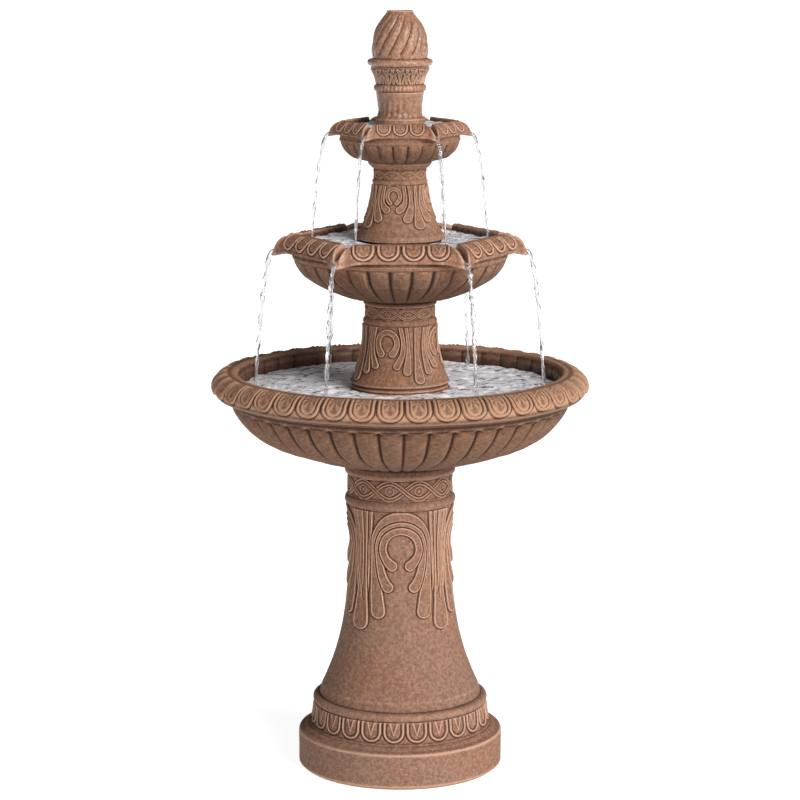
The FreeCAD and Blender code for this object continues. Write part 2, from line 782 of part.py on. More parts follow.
    spigot = cylinder("outlet_spigot", 0, 0, top_z - 8, dim("outlet_bore_radius", -0.05), 8)
    flange = cylinder("outlet_flange", 0, 0, top_z, dim("outlet_radius"), 1)
    barb = cylinder("outlet_barb", 0, 0, top_z, dim("tube_bore_radius", -0.05), 26)
    way = cylinder("outlet_way", 0, 0, top_z - 10, 4.5, 50)
    finish("pump_outlet", cut("pump_outlet", fuse("outlet_solid", spigot, flange, barb), way))

    band = ring("clamp_band", 0, 0, dim("tube_bottom_z", 6), dim("tube_radius", 1.6),
                dim("tube_radius", 0.05), 9)
    ear = box("clamp_ear", 8.6, -3.5, dim("tube_bottom_z", 6), 7, 7, 9)
    screw_way = cylinder("clamp_screw_way", 12, 0, dim("tube_bottom_z"), 1.6, 30)
    finish("hose_clamp", cut("hose_clamp", fuse("clamp_solid", band, ear), screw_way))

    gland = cylinder("gland_body", back - 7, axis_y, rotor_z + 16, 6, 7, True)
    tail = cylinder("gland_tail", back - 1, axis_y, rotor_z + 16, 3.9, 3, True)
    cord_way = cylinder("gland_cord_way", back - 8, axis_y, rotor_z + 16, 2.8, 6, True)
    finish("cord_gland", cut("cord_gland", fuse("gland_solid", gland, tail), cord_way))

    feet = []
    for index, (foot_x, foot_y) in enumerate((
        (back + 8, side_y + 8), (back + 8, side_y + width - 8),
        (front + 16, side_y + 8), (front + 16, side_y + width - 8),
    )):
        foot = document.addObject("Part::Cone", f"foot_{index}")
        foot.Radius1 = 6.5
        foot.Radius2 = 3.5
        foot.Height = number(dim("pump_bottom_z")) - number(dim("column_seat_z"))
        place(foot, foot_x, foot_y, dim("column_seat_z"))
        feet.append(foot)
    group = document.addObject("Part::Compound", "feet")
    group.Links = feet
    finish("suction_feet", group)


# ---------------------------------------------------------------- build, check, write

make_pedestal()
make_basin()
make_lower_column()
make_middle_bowl()
make_upper_column()
make_top_bowl()
make_neck()
make_finial()
make_water_way()
make_pump()
document.recompute()

faults = [item.Name for item in document.Objects if {"Invalid", "Error"} & set(item.State)]
if faults:
    raise RuntimeError("features that failed: " + ", ".join(faults))

os.makedirs("parts", exist_ok=True)
for part in SUB_PARTS:
    shape = part.Shape
    if shape.isNull() or not shape.isValid() or not shape.Solids:
        raise RuntimeError("no valid solid: " + part.Label)
    print(f"{part.Label:22s} {len(shape.Solids)} solid(s) {shape.Volume / 1000:10.1f} cm3")
for part in SUB_PARTS:
    part.Shape.exportStep(f"parts/{part.Label}.step")
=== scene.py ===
"""Looks for the tiered water fountain: carved cast-stone tiers, running water, floor, light, camera.

Lengths are millimetres until a mesh is made. Turn 0 faces the front (-Y) and grows towards +X.
"""

import json
import math

import bpy
import numpy as np
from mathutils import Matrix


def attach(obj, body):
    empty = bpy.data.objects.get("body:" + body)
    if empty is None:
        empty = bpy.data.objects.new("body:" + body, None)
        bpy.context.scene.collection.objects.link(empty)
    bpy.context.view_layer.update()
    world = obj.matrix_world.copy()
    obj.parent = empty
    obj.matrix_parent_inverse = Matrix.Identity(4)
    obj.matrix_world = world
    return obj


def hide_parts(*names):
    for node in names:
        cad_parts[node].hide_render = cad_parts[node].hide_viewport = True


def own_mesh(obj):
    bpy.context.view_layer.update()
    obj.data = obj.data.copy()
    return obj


MM = 0.001
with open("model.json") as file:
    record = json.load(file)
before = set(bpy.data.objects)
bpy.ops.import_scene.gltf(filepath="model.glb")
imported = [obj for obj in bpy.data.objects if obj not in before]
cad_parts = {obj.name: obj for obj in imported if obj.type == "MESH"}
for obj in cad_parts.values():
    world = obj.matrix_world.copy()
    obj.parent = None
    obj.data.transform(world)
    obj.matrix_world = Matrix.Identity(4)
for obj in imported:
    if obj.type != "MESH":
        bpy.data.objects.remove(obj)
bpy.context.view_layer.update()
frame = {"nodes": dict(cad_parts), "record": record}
coarse = 1.0

HEX_TRAVEL = 22.0  # going from round to six-sided counts as this much travel along an outline
DENSE = 0.35  # spacing of the points an outline is first traced with
FACING_REACH = 14.0  # distance along an outline over which its facing is averaged, in mm
PHASES = 6.28  # waves start anywhere in one full turn
SIDES = 6  # sides, and pouring lips, of the two upper bowls

# heights of the still water, and how far each tier is turned against the basin
BASIN_WATER = 621.0
MIDDLE_WATER = 857.0
TOP_WATER = 1040.0
MIDDLE_YAW = 0.5
TOP_YAW = 0.4

# eggs round the basin's rim (and lobes round its underside), and how far they are turned
BASIN_UNITS = 43
BASIN_TURN = math.radians(2.9)


# -------- curves and profiles


def smooth_step(value, low, high):
    """0 below low, 1 above high and an even curve between."""
    t = np.clip((value - low) / (high - low), 0.0, 1.0)
    return t * t * (3.0 - 2.0 * t)


def band(value, low, high, soft):
    """1 between low and high, fading to 0 over soft on each side."""
    return smooth_step(value, low - soft, low + soft) * (1 - smooth_step(value, high - soft, high + soft))


def ridge(distance, width):
    """A rounded ridge: 1 at distance 0, gone at about twice the width."""
    return np.exp(-((distance / width) ** 2))


def trace(outline, pitch, closed):
    """Dense points (radius, height, hexness) along an outline of (radius, height[, bulge, hexness]).

    A bulge is the radius of the arc to the next point; its sign gives the side, and 0 is straight.
    """
    full = [tuple(point) + (0.0, 0.0)[len(point) - 2:] for point in outline]
    pieces = []
    for index in range(len(full) if closed else len(full) - 1):
        radius0, z0, bulge, hex0 = full[index]
        radius1, z1, unused_bulge, hex1 = full[(index + 1) % len(full)]
        chord = np.array([radius1 - radius0, z1 - z0])
        length = math.hypot(*chord)
        span = math.hypot(length, (hex1 - hex0) * HEX_TRAVEL)
        count = max(2, int(span / pitch))
        t = np.arange(count) / count
        line = np.stack([radius0 + chord[0] * t, z0 + chord[1] * t, hex0 + (hex1 - hex0) * t], 1)
        if bulge:
            drop = math.sqrt(bulge * bulge - length * length / 4)
            rise = np.sqrt(bulge * bulge - ((t - 0.5) * length) ** 2) - drop
            side = math.copysign(1.0, bulge) / length
            line[:, 0] -= chord[1] * side * rise
            line[:, 1] += chord[0] * side * rise
        pieces.append(line)
    if not closed:
        pieces.append(np.array([[full[-1][0], full[-1][1], full[-1][3]]]))
    return np.vstack(pieces)


def along(points, closed):
    """Distance along dense points, starting at 0."""
    ends = np.vstack([points, points[:1]]) if closed else points
    steps = np.diff(ends, axis=0) * np.array([1.0, 1.0, HEX_TRAVEL])
    return np.concatenate([[0.0], np.cumsum(np.sqrt((steps ** 2).sum(1)))])


def soften(points, sigma, closed):
    """Rounds the corners of evenly spaced points."""
    reach = int(3 * sigma) + 1
    weights = np.exp(-0.5 * (np.arange(-reach, reach + 1) / sigma) ** 2)
    weights /= weights.sum()
    mode = "wrap" if closed else "edge"
    padded = np.pad(points, ((reach, reach), (0, 0)), mode=mode)
    return np.stack([np.convolve(padded[:, k], weights, "valid") for k in range(3)], 1)


class Profile:
    """Rows of a casting's outline: radius, height, hexness, outward direction and distance along.

    Rows are plain mm apart outside, hidden mm inside, and finer in zones (outside, low, high, mm).
    """

    def __init__(self, outside, inside, zones, plain, hidden, rounding, closed=True):
        dense = trace(outside + inside, DENSE, closed)
        split = len(trace(outside + inside[:1], DENSE, False)) - 1
        travel = along(dense, closed)
        turn_back = travel[min(split, len(travel) - 1)]
        even = np.arange(int(travel[-1] / DENSE)) * DENSE
        ends = np.vstack([dense, dense[:1]]) if closed else dense
        points = np.stack([np.interp(even, travel, ends[:, k]) for k in range(3)], 1)
        points = soften(points, rounding / DENSE, closed)
        outer = even < turn_back
        step = np.where(outer, plain, hidden)
        for on_outside, low, high, fine in zones:
            here = (outer == on_outside) & (points[:, 1] >= low) & (points[:, 1] <= high)
            step = np.where(here, np.minimum(step, fine), step)
        step = step * coarse
        share = np.concatenate([[0.0], np.cumsum(DENSE / step)])
        count = int(round(share[-1]))
        if closed:
            spots = np.interp(np.arange(count) * share[-1] / count, share, np.arange(len(share)) * DENSE)
            even = np.append(even, even[-1] + DENSE)
            points = np.vstack([points, points[:1]])
            slope = np.roll(points[:-1], -1, 0) - np.roll(points[:-1], 1, 0)
            slope = np.vstack([slope, slope[:1]])
        else:
            spots = np.linspace(0, even[-1], count)
            slope = np.gradient(points, axis=0)
        size = np.hypot(slope[:, 0], slope[:, 1]) + 1e-9
        self.r = np.interp(spots, even, points[:, 0])
        self.z = np.interp(spots, even, points[:, 1])
        self.hex = np.interp(spots, even, points[:, 2])
        self.nr = np.interp(spots, even, slope[:, 1] / size)
        self.nz = np.interp(spots, even, -slope[:, 0] / size)
        self.s = spots
        self.outer = spots < turn_back
        self.closed = closed

    def reach(self, z):
        """Distance along at which the outside first passes height z."""
        side = np.where(self.outer)[0]
        heights = self.z[side]
        crossing = np.where((heights[:-1] - z) * (heights[1:] - z) <= 0)[0]
        return self.s[side[crossing[0]]]


def spline(points, steps=10):
    """A smooth curve through given points; a third value, such as a width, goes along."""
    nodes = np.array(points, float)
    padded = np.vstack([2 * nodes[0] - nodes[1], nodes, 2 * nodes[-1] - nodes[-2]])
    out = []
    for i in range(1, len(padded) - 2):
        p0, p1, p2, p3 = padded[i - 1:i + 3]
        for t in np.arange(steps) / steps:
            out.append(0.5 * (2 * p1 + (p2 - p0) * t + (2 * p0 - 5 * p1 + 4 * p2 - p3) * t ** 2
                              + (3 * p1 - p0 - 3 * p2 + p3) * t ** 3))
    out.append(padded[-2])
    return np.array(out)


# -------- carved ornament, heights in mm


def blade(x, z, line):
    """Distance inside a leaf blade, positive inside; line is (x, z, half width)."""
    inside = np.full(np.broadcast(x, z).shape, -50.0)
    curve = spline(line)
    for start, end in zip(curve[:-1], curve[1:]):
        run = end[:2] - start[:2]
        t = ((x - start[0]) * run[0] + (z - start[1]) * run[1]) / max(run @ run, 1e-9)
        t = np.clip(t, 0.0, 1.0)
        gap = np.hypot(x - start[0] - run[0] * t, z - start[1] - run[1] * t)
        inside = np.maximum(inside, start[2] + (end[2] - start[2]) * t - gap)
    return inside


def leaf_relief(x, z, lines, body, rim, width):
    """Leaf blades, the first one on top: hollow inside, a raised line and a dark gap round each."""
    height = np.zeros(np.broadcast(x, z).shape)
    for line in reversed(lines):
        inside = blade(x, z, line)
        face = body * smooth_step(inside, -0.35 * width, 0.5 * width)
        face = face + rim * ridge(inside - 0.85 * width, 0.5 * width)
        gap = 0.3 * body * ridge(inside + 0.7 * width, 0.5 * width)
        over = smooth_step(inside, -1.35 * width, -0.5 * width)
        height = height * (1 - over) + (face - gap) * over
    return height


def gadroons(turn, count, phase=0.0):
    """0 along the crown of each lobe and -1 in the grooves between them."""
    across = (turn * count / (2 * np.pi) + phase) % 1.0 * 2 - 1
    return np.sqrt(np.maximum(1 - 0.97 * across ** 2, 0)) - 1


def egg_relief(u, v, half, petals=0.0, spike=0.0):
    """One egg: nested U-shaped lines, open at the top, round a hollow with strokes or a spike."""
    deep = np.hypot(u, np.minimum(v - half, 0.0))
    height = 1.2 * ridge(deep - 0.86 * half, 0.11 * half) - 0.9 * ridge(deep - 1.04 * half, 0.07 * half)
    height = height - 0.5 * ridge(deep - 0.69 * half, 0.075 * half)
    core = smooth_step(-deep, -0.63 * half, -0.45 * half)
    fan = np.cos(7.0 * np.arctan2(u, v - 1.7 * half))
    height = height + petals * (0.8 * ridge(deep - 0.55 * half, 0.08 * half) + 0.25 * fan * core)
    taper = 0.3 * half * np.clip(v / half - 0.7, 0.0, 1.2)
    lines = ridge(np.abs(u) - taper, 0.075 * half) * smooth_step(v, 0.6 * half, 0.8 * half)
    return height + spike * (0.8 * lines + 0.25 * core)


def guilloche(turn, z, count, middle, swing, period, half, ring):
    """Two plaited ribbons round a row of bosses; the ribbon that falls to the right is on top.

    half is a ribbon's half width, ring a boss's radius and period the distance between bosses.
    """
    q = turn * count / (2 * np.pi)
    layers = []
    for sign in (1.0, -1.0):
        wave = sign * swing * np.sin(np.pi * q)
        slope = sign * swing * np.cos(np.pi * q) / (period / np.pi)
        gap = np.abs(z - middle - wave) / np.sqrt(1 + slope ** 2)
        strand = 0.5 * smooth_step(-gap, -half, -half + 0.8)
        strand = strand + ridge(gap - 0.62 * half, 0.26 * half)
        layers.append((gap, strand, slope))
    (gap_a, strand_a, slope_a), (gap_b, strand_b, slope_b) = layers
    a_on_top = slope_a < slope_b
    top = np.where(a_on_top, strand_a, strand_b)
    top_gap = np.where(a_on_top, gap_a, gap_b)
    under = np.where(a_on_top, strand_b, strand_a)
    covered = smooth_step(-top_gap, -half * 1.35, -half)
    height = np.maximum(top, under * (1 - covered))
    across = ((q % 1.0) - 0.5) * period
    boss = np.hypot(across, z - middle)
    height = height + 1.3 * ridge(boss, 0.36 * ring) * (boss < ring)
    on_ribbon = smooth_step(-np.minimum(gap_a, gap_b), -1.2 * half, -half)
    free = 1 - np.maximum(covered, on_ribbon)
    return height + 0.9 * ridge(boss - ring, 0.17 * ring) * free


def grain(turn, z):
    """The slight unevenness of a casting, in mm: waves of (count round, rate upwards, height)."""
    waves = ((11, 0.043, 0.35), (41, 0.07, 0.2), (71, 0.23, 0.12), (139, 0.31, 0.08))
    bumps = np.zeros(np.broadcast(turn, z).shape)
    for k, (count, rate, amount) in enumerate(waves):
        swing = 2.0 * np.sin(z * rate + k)
        around = np.sin(turn * count + 1.7 * k + swing)
        bumps += amount * around * np.sin(z * rate * 2.2 + 0.9 * k)
    return bumps


# -------- meshes


def make_mesh(name, points, faces):
    """points in mm; faces is a list of integer arrays, one array for each number of corners."""
    mesh = bpy.data.meshes.new(name)
    mesh.vertices.add(len(points))
    mesh.vertices.foreach_set("co", (points * MM).astype(np.float32).ravel())
    corners = np.concatenate([part.ravel() for part in faces]).astype(np.int32)
    sizes = np.concatenate([np.full(len(part), part.shape[1]) for part in faces])
    starts = np.concatenate([[0], np.cumsum(sizes)[:-1]]).astype(np.int32)
    mesh.loops.add(len(corners))
    mesh.loops.foreach_set("vertex_index", corners)
    mesh.polygons.add(len(sizes))
    mesh.polygons.foreach_set("loop_start", starts)
    mesh.update(calc_edges=True)
    mesh.polygons.foreach_set("use_smooth", np.full(len(sizes), True))
    piece = bpy.data.objects.new(name, mesh)
    bpy.context.scene.collection.objects.link(piece)
    return piece


def ring_faces(columns, rows, closed):
    """Four-cornered faces between neighbouring columns, all the way round."""
    j = np.arange(columns)[:, None]
    i = np.arange(rows if closed else rows - 1)[None, :]
    after = (j + 1) % columns
    above = (i + 1) % rows
    quads = np.stack([j * rows + i, after * rows + i, after * rows + above, j * rows + above], -1)
    return quads.reshape(-1, 4)


def blur(field, strides, closed):
    """A soft average over neighbouring columns and rows, wider for longer strides."""
    out = field
    for stride in strides:
        out = (np.roll(out, stride, 0) + out * 2 + np.roll(out, -stride, 0)) / 4
        if closed:
            out = (np.roll(out, stride, 1) + out * 2 + np.roll(out, -stride, 1)) / 4
        else:
            side = np.pad(out, ((0, 0), (stride, stride)), mode="edge")
            out = (side[:, :-2 * stride] + out * 2 + side[:, 2 * stride:]) / 4
    return out


def crease_depth(radius, level, profile):
    """How far each point stands out of (or sinks below) the surface round it, in mm."""
    narrow, wide = ((1, 1, 2), 1.0), ((1, 2, 4, 6), 0.08)
    most = 2.5
    depth = np.zeros_like(radius)
    for strides, share in (narrow, wide):
        out = radius - blur(radius, strides, profile.closed)
        up = level - blur(level, strides, profile.closed)
        depth += share * np.clip(out * profile.nr + up * profile.nz, -most, most)
    return depth


def shade_to_paint(profile):
    """For each row, how much painted shade: 0 where it faces out or up, more where it faces the floor or is
    inside.
    """
    gaps = profile.s[:, None] - profile.s[None, :]
    near = np.exp(-(gaps / FACING_REACH) ** 2) * np.gradient(profile.s)[None, :]
    facing = near @ profile.nz / near.sum(1)
    outside = 0.8 * smooth_step(-facing, 0.1, 0.6)
    inside = smooth_step(profile.z.max() - profile.z, 3, 8)
    return np.where(profile.outer, outside, inside)


def add_attribute(piece, name, values):
    """One number for each point, which the material can read."""
    layer = piece.data.attributes.new(name, "FLOAT", "POINT")
    layer.data.foreach_set("value", values.astype(np.float32).ravel())


def casting(name, profile, turns, relief, wet, yaw=0.0, shape=None):
    """A turned casting with carved relief; shape may bend the finished surface afterwards."""
    turn = turns[:, None]
    height = relief(turn, profile)
    from_side = np.radians((np.degrees(turn) + 30) % 60 - 30)
    aspect = profile.hex * (1 / np.cos(from_side) - 1)
    radius = profile.r * (1 + aspect) + profile.nr * height
    level = np.broadcast_to(profile.z, height.shape) + profile.nz * height
    if shape:
        radius, level = shape(turn, radius, level, profile)
    angle = turn + math.radians(yaw)
    points = np.stack([radius * np.sin(angle), -radius * np.cos(angle), level], -1)
    columns, rows = radius.shape
    points = points.reshape(-1, 3)
    faces = [ring_faces(columns, rows, profile.closed)]
    # crease also drives painted shade in the grooves and painted highlight on raised edges in the stone
    # material
    crease = crease_depth(radius, level, profile)
    # painted shade: the under attribute tells the material how much to darken each point for facing the floor
    # or lying inside a bowl
    under = np.broadcast_to(shade_to_paint(profile), height.shape)
    dampness = np.broadcast_to(wet(turn, profile, level), height.shape)
    if not profile.closed:
        start = points[0::rows].mean(0)
        end = points[rows - 1::rows].mean(0)
        low, high = len(points), len(points) + 1
        points = np.vstack([points, start, end])
        j = np.arange(columns)
        after = (j + 1) % columns
        faces.append(np.stack([after * rows, j * rows, np.full(columns, low)], 1))
        faces.append(np.stack([j * rows + rows - 1, after * rows + rows - 1, np.full(columns, high)], 1))
        crease = np.append(crease, [0, 0])
        under = np.append(under, [1, 1])
        dampness = np.append(dampness, [1, 1])
    piece = make_mesh(name, points, faces)
    add_attribute(piece, "crease", crease)
    add_attribute(piece, "wet", dampness)
    add_attribute(piece, "under", under)
    return piece


def even_turns(count):
    """Turns spaced evenly all the way round."""
    count = int(count / coarse)
    return np.arange(count) * 2 * np.pi / count


def corner_turns(near, step_near, step_far):
    """Turns round a six-sided bowl, closer together near the six corners."""
    side = np.radians(60.0)
    angles = np.linspace(0, side, 2001)
    from_corner = np.abs(angles - side / 2)
    step = np.where(from_corner < math.radians(near), step_near, step_far) * coarse
    share = np.concatenate([[0], np.cumsum((angles[1] - angles[0]) / np.radians(step[:-1]))])
    count = int(round(share[-1]))
    one = np.interp(np.arange(count) * share[-1] / count, share, angles)
    return np.concatenate([one + side * k for k in range(SIDES)])


# -------- ornament shared by castings


def from_middle(turn, count, girth):
    """Sideways distance in mm from the middle of the nearest of count equal units."""
    unit = 2 * np.pi / count
    return ((turn + unit / 2) % unit - unit / 2) * girth


def leaf_band(turn, p, lines, repeat, start, girth, rows_between, body, rim, width):
    """Leaves that repeat and mirror round the outside of a casting, between two heights."""
    fold = np.abs((np.degrees(turn) + start + repeat / 2) % repeat - repeat / 2)
    x = np.radians(fold) * girth
    low, high = rows_between
    rows = p.outer & (p.z > low) & (p.z < high)
    height = np.zeros((len(turn), len(p.z)))
    height[:, rows] = leaf_relief(x, p.z[None, rows], lines, body, rim, width)
    return height


# -------- pedestal


def pedestal():
    """Round plinth, band of eggs, flared stem with scroll leaves, plaited collar."""
    outside = [
        (159, 0), (165, 5), (165, 56.5), (163.6, 59), (156.5, 61.2, 9), (153.8, 64), (150.5, 66, -3),
        (147.3, 66.4), (146, 68.8), (143.4, 69.6), (139.6, 102.6), (137.6, 104), (140, 105.6, -7),
        (134.2, 117), (131.2, 117.6), (127, 132, 420), (92, 242, 900), (81.5, 370, 500),
        (84.6, 431), (83.8, 433.2), (86, 434.2, -9), (86, 448), (83.6, 449.2), (85, 450.6),
        (85, 483), (87.4, 484), (88.6, 485),
    ]
    inside = [
        (72, 485), (72, 473), (76, 469), (72.5, 370, -900), (83, 242, -420), (118, 132),
        (130, 105), (134, 62), (151, 51), (151, 0),
    ]
    zones = [(True, 56, 119, 0.85), (True, 234, 486, 0.8), (True, 0, 8, 1.5)]
    profile = Profile(outside, inside, zones, plain=2.8, hidden=9.0, rounding=0.45)
    egg_base = profile.reach(70.5)
    leaves = [
        [(-15, 398.5, 6.1), (0, 402.6, 6.1), (15, 398.5, 6.1), (25.6, 388, 6.2), (29.7, 373, 6.4),
         (26.6, 360, 6.6), (20.5, 351, 7.8), (14.5, 345.5, 8.8)],
        [(-17, 407.5, 5.9), (0, 411.5, 5.9), (17, 407.5, 5.9), (30.5, 396, 6.0), (36.6, 379, 6.1),
         (36.6, 366, 6.1), (34.6, 347, 6.4), (30.3, 329, 7.2), (24, 315, 8.5), (21, 311, 9)],
        [(-19, 420.5, 8.5), (0, 425, 9), (19, 420.5, 8.5), (33, 408, 7.6), (41.3, 392, 7.2),
         (43, 373, 7.0), (43.2, 350, 7.1), (42.4, 329, 7.9), (39.2, 299, 10.5), (36, 275, 11.5),
         (35.5, 271, 11.5)],
        [(66, 445, 1.7), (66, 400, 1.7), (66, 350, 1.5), (66, 315, 1.0), (66, 290, -1.0)],
        [(66, 445, 13), (66, 410, 10.4), (66, 373, 8.4), (66, 330, 8.4), (66, 290, 11), (66, 262, 14),
         (66, 253, 14.5)],
        [(50, 440, 5.5), (52.6, 405, 4.6), (54, 373, 3.6), (54.5, 345, 2.8), (55, 310, 1.4),
         (55, 280, -1.0)],
    ]

    def relief(turn, p):
        height = leaf_band(turn, p, leaves, repeat=90, start=-1.0, girth=84.0,
                           rows_between=(230, 440), body=2.2, rim=1.5, width=1.75)
        height = height * (1 - smooth_step(p.z, 431.5, 433))
        u = from_middle(turn + math.radians(4.1), 24, 141.5)
        v = p.s - egg_base
        eggs = egg_relief(u, v - 1.0, 17.2, spike=1.0) * band(v, 0.3, 33.2, 0.5)
        height = height + 1.7 * eggs * (p.outer & (p.z > 69) & (p.z < 104.5))
        braid = guilloche(turn - math.radians(5), p.z, 11, middle=466.5, swing=13.3,
                          period=49.0, half=4.0, ring=6.8)
        height = height + (1.5 * braid - 2.1) * band(p.z, 450.5, 483.5, 0.4) * p.outer
        return height + grain(turn, p.z) * 0.5

    def wet(turn, p, level):
        return 0.05 + 0.25 * smooth_step(level, 430, 485)

    return casting("pedestal_stone", profile, even_turns(700), relief, wet)


# -------- basin


def basin():
    """The big round bowl: lobed underside, egg-and-dart rim, scalloped inside; open at the axis."""
    outside = [
        (3, 487), (62, 487), (62, 473), (70, 473), (70, 485), (88.6, 485), (88.6, 502), (92, 505),
        (120, 507, -420), (190, 528, -120), (270, 594), (273, 600, 14), (283.5, 607.5), (284, 610),
        (294, 611), (297.5, 617, -12), (300.4, 629, -30), (268, 648),
    ]
    inside = [
        (262, 648), (255, 636), (258, 588, 112), (190, 536.2, 420), (120, 515.5), (92, 513), (80, 506),
        (78, 504), (78, 500), (3, 500),
    ]
    zones = [(True, 484, 600, 1.9), (True, 592, 648.5, 0.85), (False, 640, 649, 1.2), (False, 606, 640, 2.4)]
    profile = Profile(outside, inside, zones, plain=3.0, hidden=12.0, rounding=0.6, closed=False)
    rim_base = profile.reach(612)

    def relief(turn, p):
        placed = turn + BASIN_TURN
        lobe_width = 2 * np.pi * p.r / BASIN_UNITS
        lobes_end = smooth_step(p.s, profile.reach(592.5), profile.reach(596))
        window = smooth_step(p.r, 90, 96) * (1 - lobes_end)
        underside = p.outer & (p.z < 602) & (p.r > 88)
        height = gadroons(placed, BASIN_UNITS, 0.5) * lobe_width * 0.26 * window * underside
        height = height - 1.2 * ridge(p.s - profile.reach(597), 1.2) * p.outer
        bowl = (~p.outer) & (p.z > 560)
        height = height + gadroons(placed, BASIN_UNITS) * 3.2 * bowl * band(p.z, 590, 642, 4)
        u = from_middle(placed, BASIN_UNITS, 297.0)
        v = p.s - rim_base
        on_rim = p.outer & (v > -2) & (v < 60)
        eggs = egg_relief(u, v - 8.5, 20.2, petals=0.8) * band(v, 0.3, 52, 1.0)
        height = height + 2.0 * (eggs - 0.4) * on_rim
        return height + grain(turn, p.z) * 0.8

    def wet(turn, p, level):
        splash = 0.35 + 0.35 * np.sin(turn * 5 + 1.0) * np.sin(turn * 3)
        top = smooth_step(level, 628, 646) * splash
        return np.maximum(top * p.outer, (~p.outer) * 0.9)

    return casting("basin_stone", profile, even_turns(BASIN_UNITS * 26), relief, wet)


# -------- columns


def lower_column():
    """Hollow column on the basin's floor: leaves below, plaited collar above."""
    outside = [
        (69, 500), (76, 500), (76, 613), (78, 616), (78.5, 620), (76.5, 622), (78, 624), (78, 625),
        (75, 628), (80, 632, 160), (57.6, 722), (57, 725.4), (58, 726.2, -5.5), (58, 733),
        (56.4, 734.2), (55.6, 735.4), (55.6, 755), (57.5, 756), (57.5, 757),
    ]
    inside = [(49, 757), (49, 717, -160), (69, 628)]
    zones = [(True, 612, 634, 1.0), (True, 634, 758, 0.7)]
    profile = Profile(outside, inside, zones, plain=4.0, hidden=10.0, rounding=0.5)
    leaves = [
        [(-11.6, 712.4, 4.9), (0, 717.3, 4.9), (11.6, 712.4, 4.9), (16.5, 700.8, 4.9), (14.5, 691, 5.2),
         (10.6, 684, 5.9), (9.6, 683, 6.0)],
        [(21.6, 727, 3.6), (24.5, 715, 3.7), (26.9, 700.8, 3.8), (25.6, 683.5, 4.4), (20, 670, 5.2),
         (17, 664, 5.6)],
        [(31.7, 727, 3.0), (34.7, 701, 3.2), (34.6, 680, 4.2), (32.6, 662, 5.8), (32, 656, 6.1)],
        [(48.7, 727, 3.2), (48.7, 701, 3.3), (48.7, 675, 4.6), (48.7, 653, 6.8), (48.7, 644, 7.4)],
    ]

    def relief(turn, p):
        height = leaf_band(turn, p, leaves, repeat=90, start=20, girth=62.0,
                           rows_between=(630, 728), body=1.9, rim=1.3, width=1.25)
        height = height * (1 - smooth_step(p.z, 724, 725.2))
        braid = guilloche(turn + math.radians(4), p.z, 11, middle=745, swing=7.6,
                          period=32.0, half=2.5, ring=4.0)
        height = height + (1.3 * braid - 1.0) * band(p.z, 735.6, 754.6, 0.3) * p.outer
        return height + grain(turn, p.z) * 0.5

    def wet(turn, p, level):
        return 1 - smooth_step(level, 618, 640) * 0.75

    return casting("lower_column_stone", profile, even_turns(520), relief, wet)


def upper_column():
    """The same column, smaller, in the middle bowl."""
    outside = [
        (58, 768), (64, 768), (64, 858), (70, 861), (70.5, 865), (69.5, 868), (66, 872, 170),
        (42.4, 946), (42, 948), (43, 948.6, -4.5), (43, 954), (41.6, 955), (41.6, 971.6), (44, 973),
        (47, 975.5), (50, 979), (50, 981),
    ]
    inside = [(36, 981), (36, 937, -170), (58, 866)]
    zones = [(True, 856, 876, 1.0), (True, 876, 982, 0.65)]
    profile = Profile(outside, inside, zones, plain=4.0, hidden=10.0, rounding=0.45)
    leaves = [
        [(-7.2, 939.4, 3.2), (0, 942.4, 3.2), (7.2, 939.4, 3.2), (10.2, 932, 3.2), (8.6, 925, 3.2),
         (4.6, 920, 3.2)],
        [(15.7, 950, 2.8), (17.7, 932, 3.0), (17.3, 921, 3.6), (12.8, 913, 5.0), (9.2, 909.5, 5.4)],
        [(23.6, 950, 2.3), (26.3, 932, 2.6), (26.7, 918, 3.8), (23.4, 905, 5.6), (20, 896, 6.2)],
        [(35.3, 950, 2.2), (35.3, 932, 2.4), (35.3, 910, 4.0), (35.3, 893, 6.6), (35.3, 887, 7.2)],
    ]

    def relief(turn, p):
        height = leaf_band(turn, p, leaves, repeat=90, start=13, girth=45.0,
                           rows_between=(874, 947), body=1.6, rim=1.2, width=1.0)
        height = height * (1 - smooth_step(p.z, 946.6, 947.8))
        braid = guilloche(turn, p.z, 10, middle=963.3, swing=6.0, period=26.3, half=2.1, ring=3.2)
        height = height + (1.2 * braid - 0.9) * band(p.z, 955.6, 971.2, 0.3) * p.outer
        return height + grain(turn, p.z) * 0.4

    def wet(turn, p, level):
        return 0.9 - smooth_step(level, 858, 880) * 0.8

    return casting("upper_column_stone", profile, even_turns(480), relief, wet)


# -------- six-sided bowls


def pouring_lips(inner, tip, floor_in, floor_tip, half_in, half_tip, roll, droop, low, high):
    """Bends a bowl's rim into six lips, with a notch from inner to tip through each.

    The notch's floor and half width go from the _in to the _tip value. Beside it the rim swells by
    about roll, and under it the apron between low and high droops.
    """

    def shape(turn, radius, level, p):
        off = np.radians(np.degrees(turn) % 60 - 30)
        out = radius * np.cos(off)
        side = np.abs(radius * np.sin(off))
        on_apron = p.hex * (p.z > low - 3)
        t = np.clip((out - inner) / (tip - inner), 0, 1)
        half = half_in + (half_tip - half_in) * t
        swell = roll * ridge(side - half - 1.15 * roll - 1.5, 1.5 * roll) * on_apron
        swell = swell * (1 - smooth_step(p.z, high - 4, high + 3))
        radius = radius + swell * np.maximum(p.nr, 0.0) * p.outer
        level = level + swell * np.maximum(p.nz, 0.0) * 0.9
        edge = np.clip((high - p.z) / (high - low), 0, 1) * on_apron * p.outer
        radius = radius + droop * 0.5 * ridge(side, 1.6 * droop) * edge
        level = level - droop * ridge(side, 2.2 * droop) * edge
        wall = floor_in + (floor_tip - floor_in) * t + np.maximum(side - half, 0.0) * 4.0
        notched = (out > inner - 12) & (p.z > low - 4) & (p.hex > 0.5)
        return radius, np.where(notched, np.minimum(level, wall), level)

    return shape


